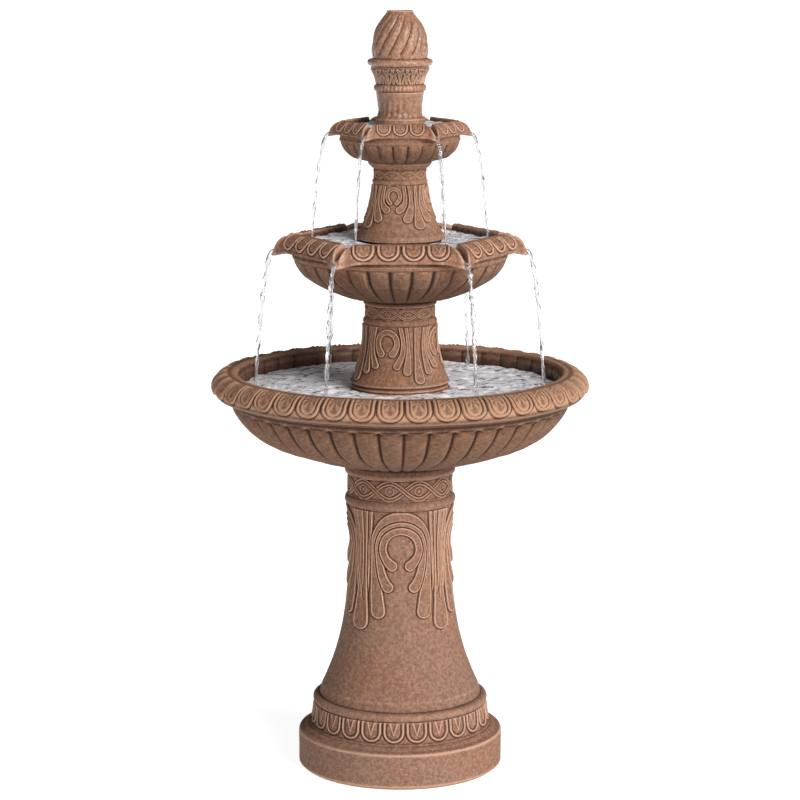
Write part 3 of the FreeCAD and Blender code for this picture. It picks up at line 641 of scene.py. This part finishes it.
def bowl_relief(egg_count, egg_pitch, egg_half, egg_start, egg_depth, lobes, lobe_zone, flutes, flute_zone):
    """Eggs along each side of the rim, lobes on the underside, fine flutes inside.

    lobe_zone is (low, high, least radius) and flute_zone (low, high).
    """

    def relief(turn, p):
        from_side = np.radians((np.degrees(turn) + 30) % 60 - 30)
        v = p.s - p.reach(egg_start)
        place = p.r * np.tan(from_side) / egg_pitch + egg_count / 2
        u = (place % 1.0 - 0.5) * egg_pitch
        window = band(v, 0.2, 1.75 * egg_half, 0.6) * band(place, 0.02, egg_count - 0.02, 0.03)
        eggs = egg_relief(u, v - 0.5, egg_half, petals=0.45, spike=0.5) * window
        height = egg_depth * eggs * (p.outer & (p.hex > 0.9))
        low, high, inner = lobe_zone
        lobe_width = 2 * np.pi * p.r / lobes
        window = smooth_step(p.r, inner - 3, inner + 3) * (1 - smooth_step(p.z, high - 4, high))
        underside = p.outer & (p.hex < 0.02) & (p.z > low)
        height = height + gadroons(turn, lobes, 0.5) * lobe_width * 0.22 * window * underside
        wall = (~p.outer) & (p.hex > 0.5)
        height = height + gadroons(turn, flutes) * 1.6 * wall * band(p.z, *flute_zone, 2)
        return height + grain(turn, p.z) * 0.5

    return relief


def bowl_wet(girth, lowest, least, stream_width):
    """Wet inside above the lowest height, and outside mostly at the corners where streams leave."""

    def wet(turn, p, level):
        off = np.abs(np.radians(np.degrees(turn) % 60 - 30)) * girth
        outside = p.hex * p.outer * (least + 0.6 * ridge(off, stream_width))
        return np.maximum((~p.outer) * 0.9 * (p.z > lowest), outside)

    return wet


def middle_bowl():
    """Lobed round underside that turns into a six-sided rim with a pouring lip at each corner."""
    outside = [
        (14, 757), (41, 757), (41, 747), (48, 747), (48, 757), (58.5, 757), (58.5, 763), (61, 765),
        (85, 768, -260), (151, 800, -70), (168.6, 826.5), (167.6, 828), (170.5, 830), (171.5, 834),
        (169.6, 837.2), (170, 838.6, 0, 0), (172, 839.6, 0, 1), (172.7, 842.2, 0, 1),
        (171.8, 844.6, 0, 1), (171.6, 849, 0, 1), (169.6, 854.5, 0, 1), (164.6, 860.4, 0, 1),
        (157, 865, 0, 1), (149, 867.8, 0, 1), (143.5, 868, 0, 1),
    ]
    inside = [
        (140, 866.5, 0, 1), (139, 850, 0, 1), (138.5, 844, 0, 1), (138, 838, 90, 0),
        (129, 815, 120), (74, 777), (66, 772), (66, 768), (14, 768),
    ]
    zones = [(True, 756, 822, 1.5), (True, 820, 869, 0.85), (False, 838, 869, 1.2)]
    profile = Profile(outside, inside, zones, plain=3.0, hidden=8.0, rounding=0.55)
    lips = pouring_lips(inner=150, tip=202, floor_in=851, floor_tip=835.0, half_in=6.0, half_tip=1.4,
                        roll=3.0, droop=7.5, low=840, high=862)
    relief = bowl_relief(egg_count=4, egg_pitch=38.6, egg_half=17.6, egg_start=844.8, egg_depth=1.7,
                         lobes=30, lobe_zone=(766, 829, 64), flutes=48, flute_zone=(848, 864))
    wet = bowl_wet(girth=190, lowest=800, least=0.25, stream_width=22)
    turns = corner_turns(near=9.5, step_near=0.26, step_far=0.62)
    return casting("middle_bowl_stone", profile, turns, relief, wet, MIDDLE_YAW, lips)


def top_bowl():
    """The same bowl, smaller, under the finial."""
    outside = [
        (14, 981), (30, 981), (30, 973), (35, 973), (35, 981), (50.5, 981), (50.5, 983),
        (75, 989, -40), (94, 1013), (93.4, 1014), (95.2, 1015.4), (95.6, 1018), (94.4, 1020.4),
        (94.6, 1024.8, 0, 0), (96.4, 1025.8, 0, 1), (97, 1027.6, 0, 1), (96.3, 1029.2, 0, 1),
        (96.1, 1032, 0, 1), (94.6, 1036, 0, 1), (91.4, 1040.4, 0, 1), (86.6, 1044.4, 0, 1),
        (83, 1046.6, 0, 1), (80.5, 1047, 0, 1),
    ]
    inside = [
        (78, 1046, 0, 1), (77, 1036, 0, 1), (76.5, 1031, 0, 1), (76, 1026, 60, 0), (46, 993),
        (42, 993), (42, 990), (14, 990),
    ]
    zones = [(True, 980, 1012, 1.1), (True, 1010, 1048, 0.65), (False, 1026, 1048, 1.0)]
    profile = Profile(outside, inside, zones, plain=2.5, hidden=6.0, rounding=0.45)
    lips = pouring_lips(inner=84, tip=113.5, floor_in=1034.5, floor_tip=1023.5, half_in=3.6,
                        half_tip=0.9, roll=2.1, droop=4.2, low=1027.5, high=1043)
    relief = bowl_relief(egg_count=3, egg_pitch=26.0, egg_half=11.6, egg_start=1029.6, egg_depth=1.3,
                         lobes=24, lobe_zone=(984, 1014.5, 53), flutes=34, flute_zone=(1034, 1044))
    wet = bowl_wet(girth=105, lowest=1010, least=0.3, stream_width=14)
    turns = corner_turns(near=10, step_near=0.36, step_far=0.8)
    return casting("top_bowl_stone", profile, turns, relief, wet, TOP_YAW, lips)


# -------- neck and finial


def soaking(turn, p, level):
    return 1.0


def neck():
    """Short ribbed stem out of the top bowl, with runs of water down it."""
    outside = [
        (25, 990), (38, 990), (38, 1042), (40, 1044), (40, 1050), (36, 1053, 30), (34, 1064, 120),
        (37.7, 1089), (37.7, 1092),
    ]
    inside = [(25, 1092)]
    zones = [(True, 1036, 1093, 0.8)]
    profile = Profile(outside, inside, zones, plain=4.0, hidden=8.0, rounding=0.6)

    def relief(turn, p):
        ribs = 0.45 * np.cos(turn * 24 + 0.8 * np.sin(p.z * 0.15)) * band(p.z, 1054, 1082, 3)
        around = 0.6 * np.sin(turn * 9 + 2.5 * np.sin(p.z * 0.09))
        drips = around * np.sin(p.z * 0.23 + 3 * np.sin(turn * 4))
        return ribs + drips * band(p.z, 1050, 1088, 4)

    def wet(turn, p, level):
        return 0.9

    return casting("finial_neck_stone", profile, even_turns(288), relief, wet)


def finial():
    """Cup of small scrolls and a twisted bud, open at the top."""
    outside = [
        (17, 1078), (24.6, 1078), (24.6, 1092), (36.5, 1092, -6.2), (36.5, 1104), (36.5, 1107, 60),
        (46, 1130), (45.4, 1132), (49, 1133.4, -5.5), (49, 1142.6), (43, 1144), (43.4, 1149, -34),
        (43.3, 1169, -60), (27.4, 1207), (20.5, 1215.5), (21.5, 1217.4), (19.5, 1218.4),
    ]
    inside = [(16.2, 1218.4), (15, 1207), (17, 1204)]
    zones = [(True, 1091, 1220, 0.75), (False, 1204, 1220, 1.5)]
    profile = Profile(outside, inside, zones, plain=3.0, hidden=7.0, rounding=0.6)
    scrolls = [
        [(0, 1105, 1.4), (0, 1116, 2.4), (1.2, 1124, 2.6), (4.2, 1127.5, 1.8)],
        [(3.4, 1106, 1.3), (6.2, 1113, 2.0), (8.2, 1119, 2.0), (6.0, 1122.5, 1.2)],
        [(9.6, 1106, 1.2), (10.6, 1114, 2.1), (10.8, 1124, 2.4), (8.8, 1128.5, 1.2)],
    ]
    lobes = 14

    def relief(turn, p):
        twisted = gadroons(turn - (p.z - 1149) * 0.012, lobes)
        lobe_width = 2 * np.pi * p.r / lobes
        bud = p.outer & (p.z > 1146)
        height = twisted * lobe_width * 0.24 * band(p.z, 1150, 1213, 3) * bud
        cup = leaf_band(turn, p, scrolls, repeat=30, start=0, girth=40.0,
                        rows_between=(1103, 1131), body=1.4, rim=1.0, width=0.8)
        beads = 0.7 * np.cos(turn * 40) * band(p.z, 1094, 1103, 1.5) * p.outer
        return height + cup + 0.5 * beads + grain(turn, p.z) * 0.4

    return casting("finial_stone", profile, even_turns(468), relief, soaking)


# -------- water


def ripples(x, y, centres, seed):
    """Heights of a disturbed surface in mm: crossing waves, and rings round the falling streams."""
    rng = np.random.default_rng(seed)
    height = np.zeros_like(x)
    for wave in range(46):
        heading = rng.uniform(0, 2 * np.pi)
        length = rng.uniform(9, 46)
        across = (x * math.cos(heading) + y * math.sin(heading)) * 2 * np.pi / length
        start = rng.uniform(0, PHASES)
        bend = 1.3 * np.sin(0.05 * x + rng.uniform(0, PHASES))
        height += 0.0052 * length * np.sin(across + start + bend)
    for centre_x, centre_y in centres:
        gap = np.hypot(x - centre_x, y - centre_y)
        rings = 1.5 * np.cos(gap * 0.62) * np.exp(-gap / 22)
        height += rings + 2.6 * np.exp(-(gap / 5.5) ** 2)
    return height


def pool(name, inner, outer, hexness, water, yaw, centres, seed):
    """A thin disc of water with a hole for the column; its top is the inside of the outline."""
    outside = [(inner, water - 4), (outer - 4, water - 4), (outer, water, 0, hexness)]
    inside = [(outer - 0.5, water + 0.2, 0, hexness), (inner, water)]
    zones = [(False, water - 1, water + 1, 1.6)]
    profile = Profile(outside, inside, zones, plain=12.0, hidden=1.6, rounding=0.5)

    def relief(turn, p):
        return np.zeros((len(turn), len(p.r)))

    def shape(turn, radius, level, p):
        angle = turn + math.radians(yaw)
        calm = smooth_step(outer * 1.15 - radius, 0, 6)
        waves = ripples(radius * np.sin(angle), -radius * np.cos(angle), centres, seed)
        return radius, level + waves * (~p.outer) * calm

    turns = even_turns(max(240, int(outer * 2.6)))
    return casting(name, profile, turns, relief, soaking, yaw, shape)


def stream_path(tip, start, fall_to, reach):
    """Points (radius, height) down a notch and through the air, their distance along, and the lip's."""
    run = np.array([start]) + (np.array([tip]) - np.array([start])) * np.linspace(0, 1, 16)[:, None]
    t = np.linspace(0, 1, 150)[1:]
    fall = np.stack([tip[0] + (reach - tip[0]) * t, tip[1] - (tip[1] - fall_to) * t ** 2], 1)
    path = np.vstack([run, fall])
    travel = np.concatenate([[0], np.cumsum(np.hypot(*np.diff(path, axis=0).T))])
    spots = np.arange(0, travel[-1], 1.6 * coarse)
    path = np.stack([np.interp(spots, travel, path[:, k]) for k in range(2)], 1)
    return path, spots, travel[len(run) - 1]


def stream_lumps(spots, falling, thickness, seed):
    """Half thickness at each spot, and how far the stream wanders outwards and sideways there."""
    rng = np.random.default_rng(seed)
    size = np.full(len(spots), thickness)
    wander = np.zeros((len(spots), 2))
    for wave in range(9):
        length = rng.uniform(9, 60)
        swell = np.sin(spots * 2 * np.pi / length + rng.uniform(0, PHASES))
        sway = np.sin(spots * 2 * np.pi / length + rng.uniform(0, PHASES))
        size = size * (1 + 0.055 * swell * (0.3 + falling))
        wander[:, 0] += 0.05 * swell * falling * length / 20
        wander[:, 1] += 0.05 * sway * falling * length / 20
    size *= 1.25 - 0.45 * falling * spots / spots[-1]
    size *= smooth_step(spots, -2, 10) * 0.6 + 0.4
    return size, wander


def stream(name, tip, start, fall_to, reach, angle, seed, thickness):
    """Water that runs down a notch and falls in a thin, lumpy rope."""
    path, spots, leaves_lip = stream_path(tip, start, fall_to, reach)
    falling = smooth_step(spots, leaves_lip, leaves_lip + 30)
    size, wander = stream_lumps(spots, falling, thickness, seed)
    slope = np.gradient(path, axis=0)
    slope /= np.hypot(*slope.T)[:, None]
    sides = 12
    ring = np.arange(sides)[None, :] * 2 * np.pi / sides
    spot = spots[:, None]
    swirl = 1 + 0.28 * np.sin(2 * ring + spot * 0.19 + seed) * falling[:, None]
    swirl = swirl + 0.16 * np.sin(3 * ring - spot * 0.31)
    radius = size[:, None] * swirl
    across = np.cos(ring) * radius
    out = path[:, :1] + wander[:, :1] + across * slope[:, 1:]
    up = path[:, 1:] - across * slope[:, :1]
    side = wander[:, 1:] + np.sin(ring) * radius
    turn = math.radians(angle)
    x = out * math.sin(turn) + side * math.cos(turn)
    y = out * -math.cos(turn) + side * math.sin(turn)
    points = np.stack([x, y, up], -1).reshape(-1, 3)
    count = len(spots)
    j = np.arange(count - 1)[:, None] * sides
    k = np.arange(sides)[None, :]
    after = (k + 1) % sides
    quads = np.stack([j + k, j + sides + k, j + sides + after, j + after], -1)
    caps = [k, (count - 1) * sides + k[:, ::-1]]
    return make_mesh(name, points, [quads.reshape(-1, 4)] + caps)


# -------- materials


class Shader:
    """Builds one node material."""

    def __init__(self, name):
        self.material = bpy.data.materials.new(name)
        self.material.use_nodes = True
        self.tree = self.material.node_tree
        self.surface = self.tree.nodes["Principled BSDF"]
        self.place = self.tree.nodes.new("ShaderNodeTexCoord").outputs["Object"]

    def link(self, source, target):
        """Joins a socket to the target, or sets the target to a plain value."""
        if isinstance(source, bpy.types.NodeSocket):
            self.tree.links.new(source, target)
        else:
            target.default_value = source

    def node(self, kind, **values):
        """A new node with its inputs set; _ stands for the space in an input's name."""
        node = self.tree.nodes.new(kind)
        for name, value in values.items():
            self.link(value, node.inputs[name.replace("_", " ")])
        return node

    def noise(self, scale, detail=3.0, rough=0.55, distortion=0.0, stretch=None):
        """Cloudy noise in object space; stretch scales the three axes."""
        place = self.place
        if stretch:
            place = self.node("ShaderNodeMapping", Vector=place, Scale=stretch).outputs["Vector"]
        clouds = self.node("ShaderNodeTexNoise", Vector=place, Scale=scale, Detail=detail,
                           Roughness=rough, Distortion=distortion)
        return clouds.outputs["Fac"]

    def remap(self, value, low, high, to_low=0.0, to_high=1.0):
        """Turns low..high into to_low..to_high with soft ends."""
        node = self.node("ShaderNodeMapRange", Value=value, From_Min=low, From_Max=high,
                         To_Min=to_low, To_Max=to_high)
        node.interpolation_type = "SMOOTHSTEP"
        return node.outputs["Result"]

    def math(self, operation, first, second):
        node = self.node("ShaderNodeMath")
        node.operation = operation
        self.link(first, node.inputs[0])
        self.link(second, node.inputs[1])
        return node.outputs["Value"]

    def mix(self, factor, first, second, blend="MIX"):
        node = self.node("ShaderNodeMix")
        node.data_type = "RGBA"
        node.blend_type = blend
        self.link(factor, node.inputs["Factor"])
        for colour, socket in ((first, "A"), (second, "B")):
            is_socket = isinstance(colour, bpy.types.NodeSocket)
            self.link(colour if is_socket else (*colour, 1.0), node.inputs[socket])
        return node.outputs["Result"]

    def attribute(self, name):
        node = self.node("ShaderNodeAttribute")
        node.attribute_name = name
        return node.outputs["Fac"]

    def bump(self, height, strength, distance, **under):
        """Bumps in metres; under may give the Normal they are laid on."""
        node = self.node("ShaderNodeBump", Strength=strength, Distance=distance, Height=height, **under)
        return node.outputs["Normal"]

    def finish(self, colour, roughness, normal, **fixed):
        """Joins the looks to the surface; fixed are other inputs, with _ for each space."""
        self.link(colour, self.surface.inputs["Base Color"])
        self.link(roughness, self.surface.inputs["Roughness"])
        self.tree.links.new(normal, self.surface.inputs["Normal"])
        for name, value in fixed.items():
            self.surface.inputs[name.replace("_", " ")].default_value = value
        return self.material


def stone(name, base, warm, pale, groove, wet_gloss, shade=(0.40, 0.37, 0.34)):
    """Cast stone, from the pieces' attributes crease (mm above the surface round it), under and wet.

    wet_gloss is the roughness where wettest; shade is multiplied in as painted shade where the surface faces
    the floor or is the inside wall of a bowl.
    """
    s = Shader(name)
    # clouds of colour
    patches = s.remap(s.noise(11, 4, 0.6, 0.6), 0.36, 0.66)
    colour = s.mix(patches, base, warm)
    rust = s.remap(s.noise(26, 5, 0.65, 1.2), 0.58, 0.74)
    colour = s.mix(s.math("MULTIPLY", rust, 0.55), colour, (0.36, 0.135, 0.085))
    # dark and pale specks
    speck = s.noise(520, 2, 0.7)
    colour = s.mix(s.remap(speck, 0.40, 0.30), colour, groove)
    colour = s.mix(s.remap(speck, 0.62, 0.74, 0.0, 0.75), colour, pale)
    medium = s.noise(170, 4, 0.75)
    colour = s.mix(s.remap(medium, 0.60, 0.40, 0.0, 0.45), colour, groove)
    # carved ornament, from crease: painted shade darkens the grooves and painted highlight lightens the
    # raised edges
    crease = s.attribute("crease")
    colour = s.mix(s.remap(crease, -0.07, -0.62, 0.0, 0.92), colour, groove)
    colour = s.mix(s.remap(crease, 0.12, 0.7, 0.0, 0.6), colour, pale)
    # painted shade: darker where the under attribute marks a surface that faces the floor or the inside wall
    # of a bowl
    shaded = s.mix(1.0, colour, shade, "MULTIPLY")
    colour = s.mix(s.attribute("under"), colour, shaded)
    # film of water, in runs that are longer upwards than sideways
    drip = s.remap(s.noise(60, 3, 0.6, 0.8, (1.0, 1.0, 0.35)), 0.35, 0.6)
    runs = s.math("ADD", s.math("MULTIPLY", drip, 0.45), 0.55)
    film = s.math("MULTIPLY", s.attribute("wet"), runs)
    damp = s.mix(1.0, colour, (0.80, 0.72, 0.68), "MULTIPLY")
    colour = s.mix(s.math("MULTIPLY", film, 0.7), colour, damp)
    rough = s.remap(film, 0.15, 0.95, 0.88, wet_gloss)
    rough = s.math("ADD", rough, s.math("MULTIPLY", medium, 0.08))
    normal = s.bump(s.noise(420, 3, 0.7), 0.55, 0.0009)
    normal = s.bump(medium, 0.45, 0.0012, Normal=normal)
    return s.finish(colour, rough, normal, Specular_IOR_Level=0.42)


def moulded(name, base, second, rough, metallic=0.0, **fixed):
    """Plastic, rubber, metal or ceramic: two close colours in clouds, and fine pale specks."""
    s = Shader(name)
    clouds = s.noise(44.0, 3)
    fine = s.noise(880.0, 2)
    colour = s.mix(s.remap(clouds, 0.35, 0.65), base, second)
    speck = [min(1.0, part * 1.5 + 0.02) for part in base]
    colour = s.mix(s.remap(fine, 0.6, 0.75, 0.0, 0.25), colour, speck)
    roughness = s.remap(s.noise(220.0, 3), 0.3, 0.7, rough * 0.85, min(1.0, rough * 1.2))
    normal = s.bump(fine, 0.25, 0.0003)
    return s.finish(colour, roughness, normal, Metallic=metallic, **fixed)


def pool_water(name):
    """Painted reflections on a dark pool: pale and grey patches with black spots between, all in the base
    colour.
    """
    s = Shader(name)
    wide = s.noise(46, 4, 0.6, 0.9, (0.55, 1.5, 1.0))
    small = s.noise(120, 3, 0.6, 0.5, (0.5, 1.5, 1.0))
    both = s.math("ADD", s.math("MULTIPLY", wide, 0.6), s.math("MULTIPLY", small, 0.4))
    # painted reflections: pale and grey patches and black spots in the base colour stand for what the pool
    # reflects
    colour = s.mix(s.remap(both, 0.385, 0.455), (0.30, 0.28, 0.34), (0.95, 0.955, 1.0))
    spots = s.remap(s.noise(95, 2, 0.5, 0.4, (0.5, 1.5, 1.0)), 0.61, 0.65)
    colour = s.mix(spots, colour, (0.03, 0.025, 0.028))
    rough = s.remap(small, 0.3, 0.7, 0.10, 0.30)
    normal = s.bump(both, 0.55, 0.003)
    return s.finish(colour, rough, normal, IOR=1.33, Specular_IOR_Level=0.9)


def falling_water(name):
    """Clear water with white streaks along the fall; the streaks are painted highlights in its colour."""
    s = Shader(name)
    streaks = s.noise(160, 3, 0.6, 0.6, (1.0, 1.0, 0.25))
    # painted highlights: white streaks in the colour along the fall
    colour = s.mix(s.remap(streaks, 0.38, 0.6), (0.62, 0.65, 0.70), (0.97, 0.98, 1.0))
    rough = s.remap(streaks, 0.3, 0.7, 0.02, 0.09)
    normal = s.bump(streaks, 0.6, 0.002)
    return s.finish(colour, rough, normal, IOR=1.33, Transmission_Weight=0.85)


# -------- the object

castings = {
    "pedestal": (pedestal, "pedestal"),
    "basin": (basin, "basin"),
    "lower_column": (lower_column, "middle_tier"),
    "middle_bowl": (middle_bowl, "middle_tier"),
    "upper_column": (upper_column, "top_tier"),
    "top_bowl": (top_bowl, "top_tier"),
    "finial_neck": (neck, "top_tier"),
    "finial": (finial, "finial"),
}
dry = stone(
    "cast_stone_look", base=(0.290, 0.166, 0.114), warm=(0.31, 0.158, 0.100), pale=(0.66, 0.40, 0.275),
    groove=(0.060, 0.026, 0.017), wet_gloss=0.30,
)
# darker copy of the cast stone for the basin: painted shade on its lit rim, with a lighter shade colour so
# its underside gets less painted shade
shaded_basin_look = stone(
    "basin_stone_shaded_look", base=(0.252, 0.130, 0.078), warm=(0.27, 0.128, 0.070), pale=(0.56, 0.33, 0.21),
    groove=(0.055, 0.024, 0.014), wet_gloss=0.24, shade=(0.54, 0.51, 0.48),
)
soaked = stone(
    "wet_stone_look", base=(0.35, 0.187, 0.116), warm=(0.37, 0.178, 0.100), pale=(0.70, 0.46, 0.33),
    groove=(0.060, 0.026, 0.016), wet_gloss=0.14,
)
# lighter copy of the stone for the finial and neck: painted light
running = stone(
    "finial_stone_lit_look", base=(0.44, 0.25, 0.165), warm=(0.46, 0.235, 0.145), pale=(0.86, 0.62, 0.47),
    groove=(0.070, 0.032, 0.020), wet_gloss=0.10,
)
by_slot = {"cast_stone": dry, "wet_stone": soaked}
by_node = {"basin": shaded_basin_look, "finial": running, "finial_neck": running}
slots = {entry["node"]: entry["material_slot"] for entry in frame["record"]["subparts"]}
for node, (build, body) in castings.items():
    piece = build()
    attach(piece, body)
    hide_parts(node)
    slot = slots[node]
    piece.data.materials.append(by_node.get(node, by_slot[slot]))

# the look of each other slot: name, two colours, roughness, and what else is special
plain_looks = {
    "rubber": ("rubber_look", (0.02, 0.02, 0.021), (0.035, 0.034, 0.034), 0.6, {}),
    "clear_vinyl": ("vinyl_look", (0.75, 0.78, 0.76), (0.66, 0.70, 0.68), 0.14,
                    {"Transmission_Weight": 0.6, "IOR": 1.5}),
    "clamp_steel": ("clamp_look", (0.55, 0.54, 0.52), (0.42, 0.41, 0.40), 0.3, {"metallic": 1.0}),
    "pump_plastic": ("pump_look", (0.022, 0.023, 0.025), (0.035, 0.036, 0.038), 0.42, {}),
    "potted_steel": ("stator_look", (0.12, 0.11, 0.10), (0.06, 0.055, 0.05), 0.5, {"metallic": 0.6}),
    "ferrite": ("ferrite_look", (0.05, 0.048, 0.05), (0.08, 0.076, 0.078), 0.55, {}),
    "impeller_plastic": ("impeller_look", (0.70, 0.69, 0.64), (0.60, 0.59, 0.55), 0.4, {}),
    "dial_plastic": ("dial_look", (0.05, 0.16, 0.34), (0.07, 0.20, 0.40), 0.4, {}),
    "white_ceramic": ("ceramic_look", (0.84, 0.83, 0.80), (0.76, 0.75, 0.73), 0.2, {}),
}
made = {}
for node, item in frame["nodes"].items():
    if node in castings:
        continue
    slot = slots[node]
    if slot not in made:
        *look, special = plain_looks[slot]
        made[slot] = moulded(*look, **special)
    item.data.materials.clear()
    item.data.materials.append(made[slot])

water_look = pool_water("pool_water_look")
stream_look = falling_water("falling_water_look")


def lip_turns(yaw):
    """Where the pouring lips stand round a bowl, in degrees."""
    return [30 + 60 * k + yaw for k in range(SIDES)]


def lands(reach, yaw):
    """The places (x, y) where streams from a bowl fall into the pool below it."""
    turns = [math.radians(turn) for turn in lip_turns(yaw)]
    return [(reach * math.sin(turn), -reach * math.cos(turn)) for turn in turns]


def add_pool(name, body, **values):
    piece = pool(name, **values)
    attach(piece, body)
    piece.data.materials.append(water_look)


def add_streams(name, body, joint, yaw, tip, **values):
    """Six streams from a bowl's lips, each attached to the bowl's body."""
    for k, turn in enumerate(lip_turns(yaw)):
        piece = stream(f"{name}_{k + 1}", tip, angle=turn, seed=40 + k + len(name), **values)
        piece.data.materials.append(stream_look)
        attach(piece, body)
        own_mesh(piece)


MIDDLE_REACH = 231  # how far from the axis the streams of the middle bowl fall
TOP_REACH = 140
add_pool("basin_water", "basin", inner=79.2, outer=255.5, hexness=0.0, water=BASIN_WATER, yaw=0.0,
         centres=lands(MIDDLE_REACH, MIDDLE_YAW), seed=11)
add_pool("middle_water", "middle_tier", inner=65.2, outer=139.5, hexness=1.0, water=MIDDLE_WATER,
         yaw=MIDDLE_YAW, centres=lands(TOP_REACH, TOP_YAW), seed=12)
add_pool("top_water", "top_tier", inner=38.5, outer=77.4, hexness=1.0, water=TOP_WATER, yaw=TOP_YAW,
         centres=[], seed=13)
add_streams("middle_stream", "middle_tier", "middle_tier_lift", MIDDLE_YAW, tip=(201.5, 840.0),
            start=(148, 855.5), fall_to=BASIN_WATER + 1.5, reach=MIDDLE_REACH, thickness=2.7)
add_streams("top_stream", "top_tier", "top_tier_lift", TOP_YAW, tip=(112.5, 1025.8),
            start=(82, 1038.5), fall_to=MIDDLE_WATER + 1.5, reach=TOP_REACH, thickness=2.0)

# -------- floor, light, camera


def paper_floor(half_width, front, back):
    """A white sheet that fills the picture; it glows a little so that it stays evenly white."""
    corners = [[-half_width, front, 0], [half_width, front, 0], [half_width, back, 0], [-half_width, back, 0]]
    sheet = make_mesh("floor", np.array(corners, float), [np.array([[0, 1, 2, 3]])])
    s = Shader("paper_floor")
    white = s.mix(s.noise(0.7, 2), (0.54, 0.54, 0.54), (0.57, 0.57, 0.57))
    grainy = s.bump(s.noise(300, 2), 0.02, 0.0002)
    s.finish(white, 0.9, grainy, Specular_IOR_Level=0.1, Emission_Color=(1, 1, 1, 1), Emission_Strength=0.88)
    sheet.data.materials.append(s.material)
    return sheet


def sun(name, strength, softness, tilt, heading, colour):
    """Sunlight; softness, tilt from straight down and heading are in degrees."""
    light = bpy.data.lights.new(name, "SUN")
    light.energy = strength
    light.angle = math.radians(softness)
    light.color = colour
    item = bpy.data.objects.new(name, light)
    item.rotation_euler = (math.radians(tilt), 0, math.radians(heading))
    bpy.context.scene.collection.objects.link(item)


floor = paper_floor(half_width=90000, front=-60000, back=120000)
sun("key", strength=3.7, softness=34, tilt=61, heading=40, colour=(1.0, 0.985, 0.96))

world = bpy.data.worlds.new("studio")
world.use_nodes = True
world.node_tree.nodes["Background"].inputs["Color"].default_value = (0.93, 0.96, 1.0, 1)
world.node_tree.nodes["Background"].inputs["Strength"].default_value = 0.14
bpy.context.scene.world = world
bpy.context.scene.view_settings.view_transform = "Standard"

camera_data = bpy.data.cameras.new("camera")
camera_data.sensor_width = 36.0
camera_data.lens = 125.8
camera_data.clip_end = 400.0
camera = bpy.data.objects.new("camera", camera_data)
camera.location = (0.0, -4.4094, 1.3927)
camera.rotation_euler = (math.radians(79.8), 0.0, 0.0)
bpy.context.scene.collection.objects.link(camera)
bpy.context.scene.camera = camera
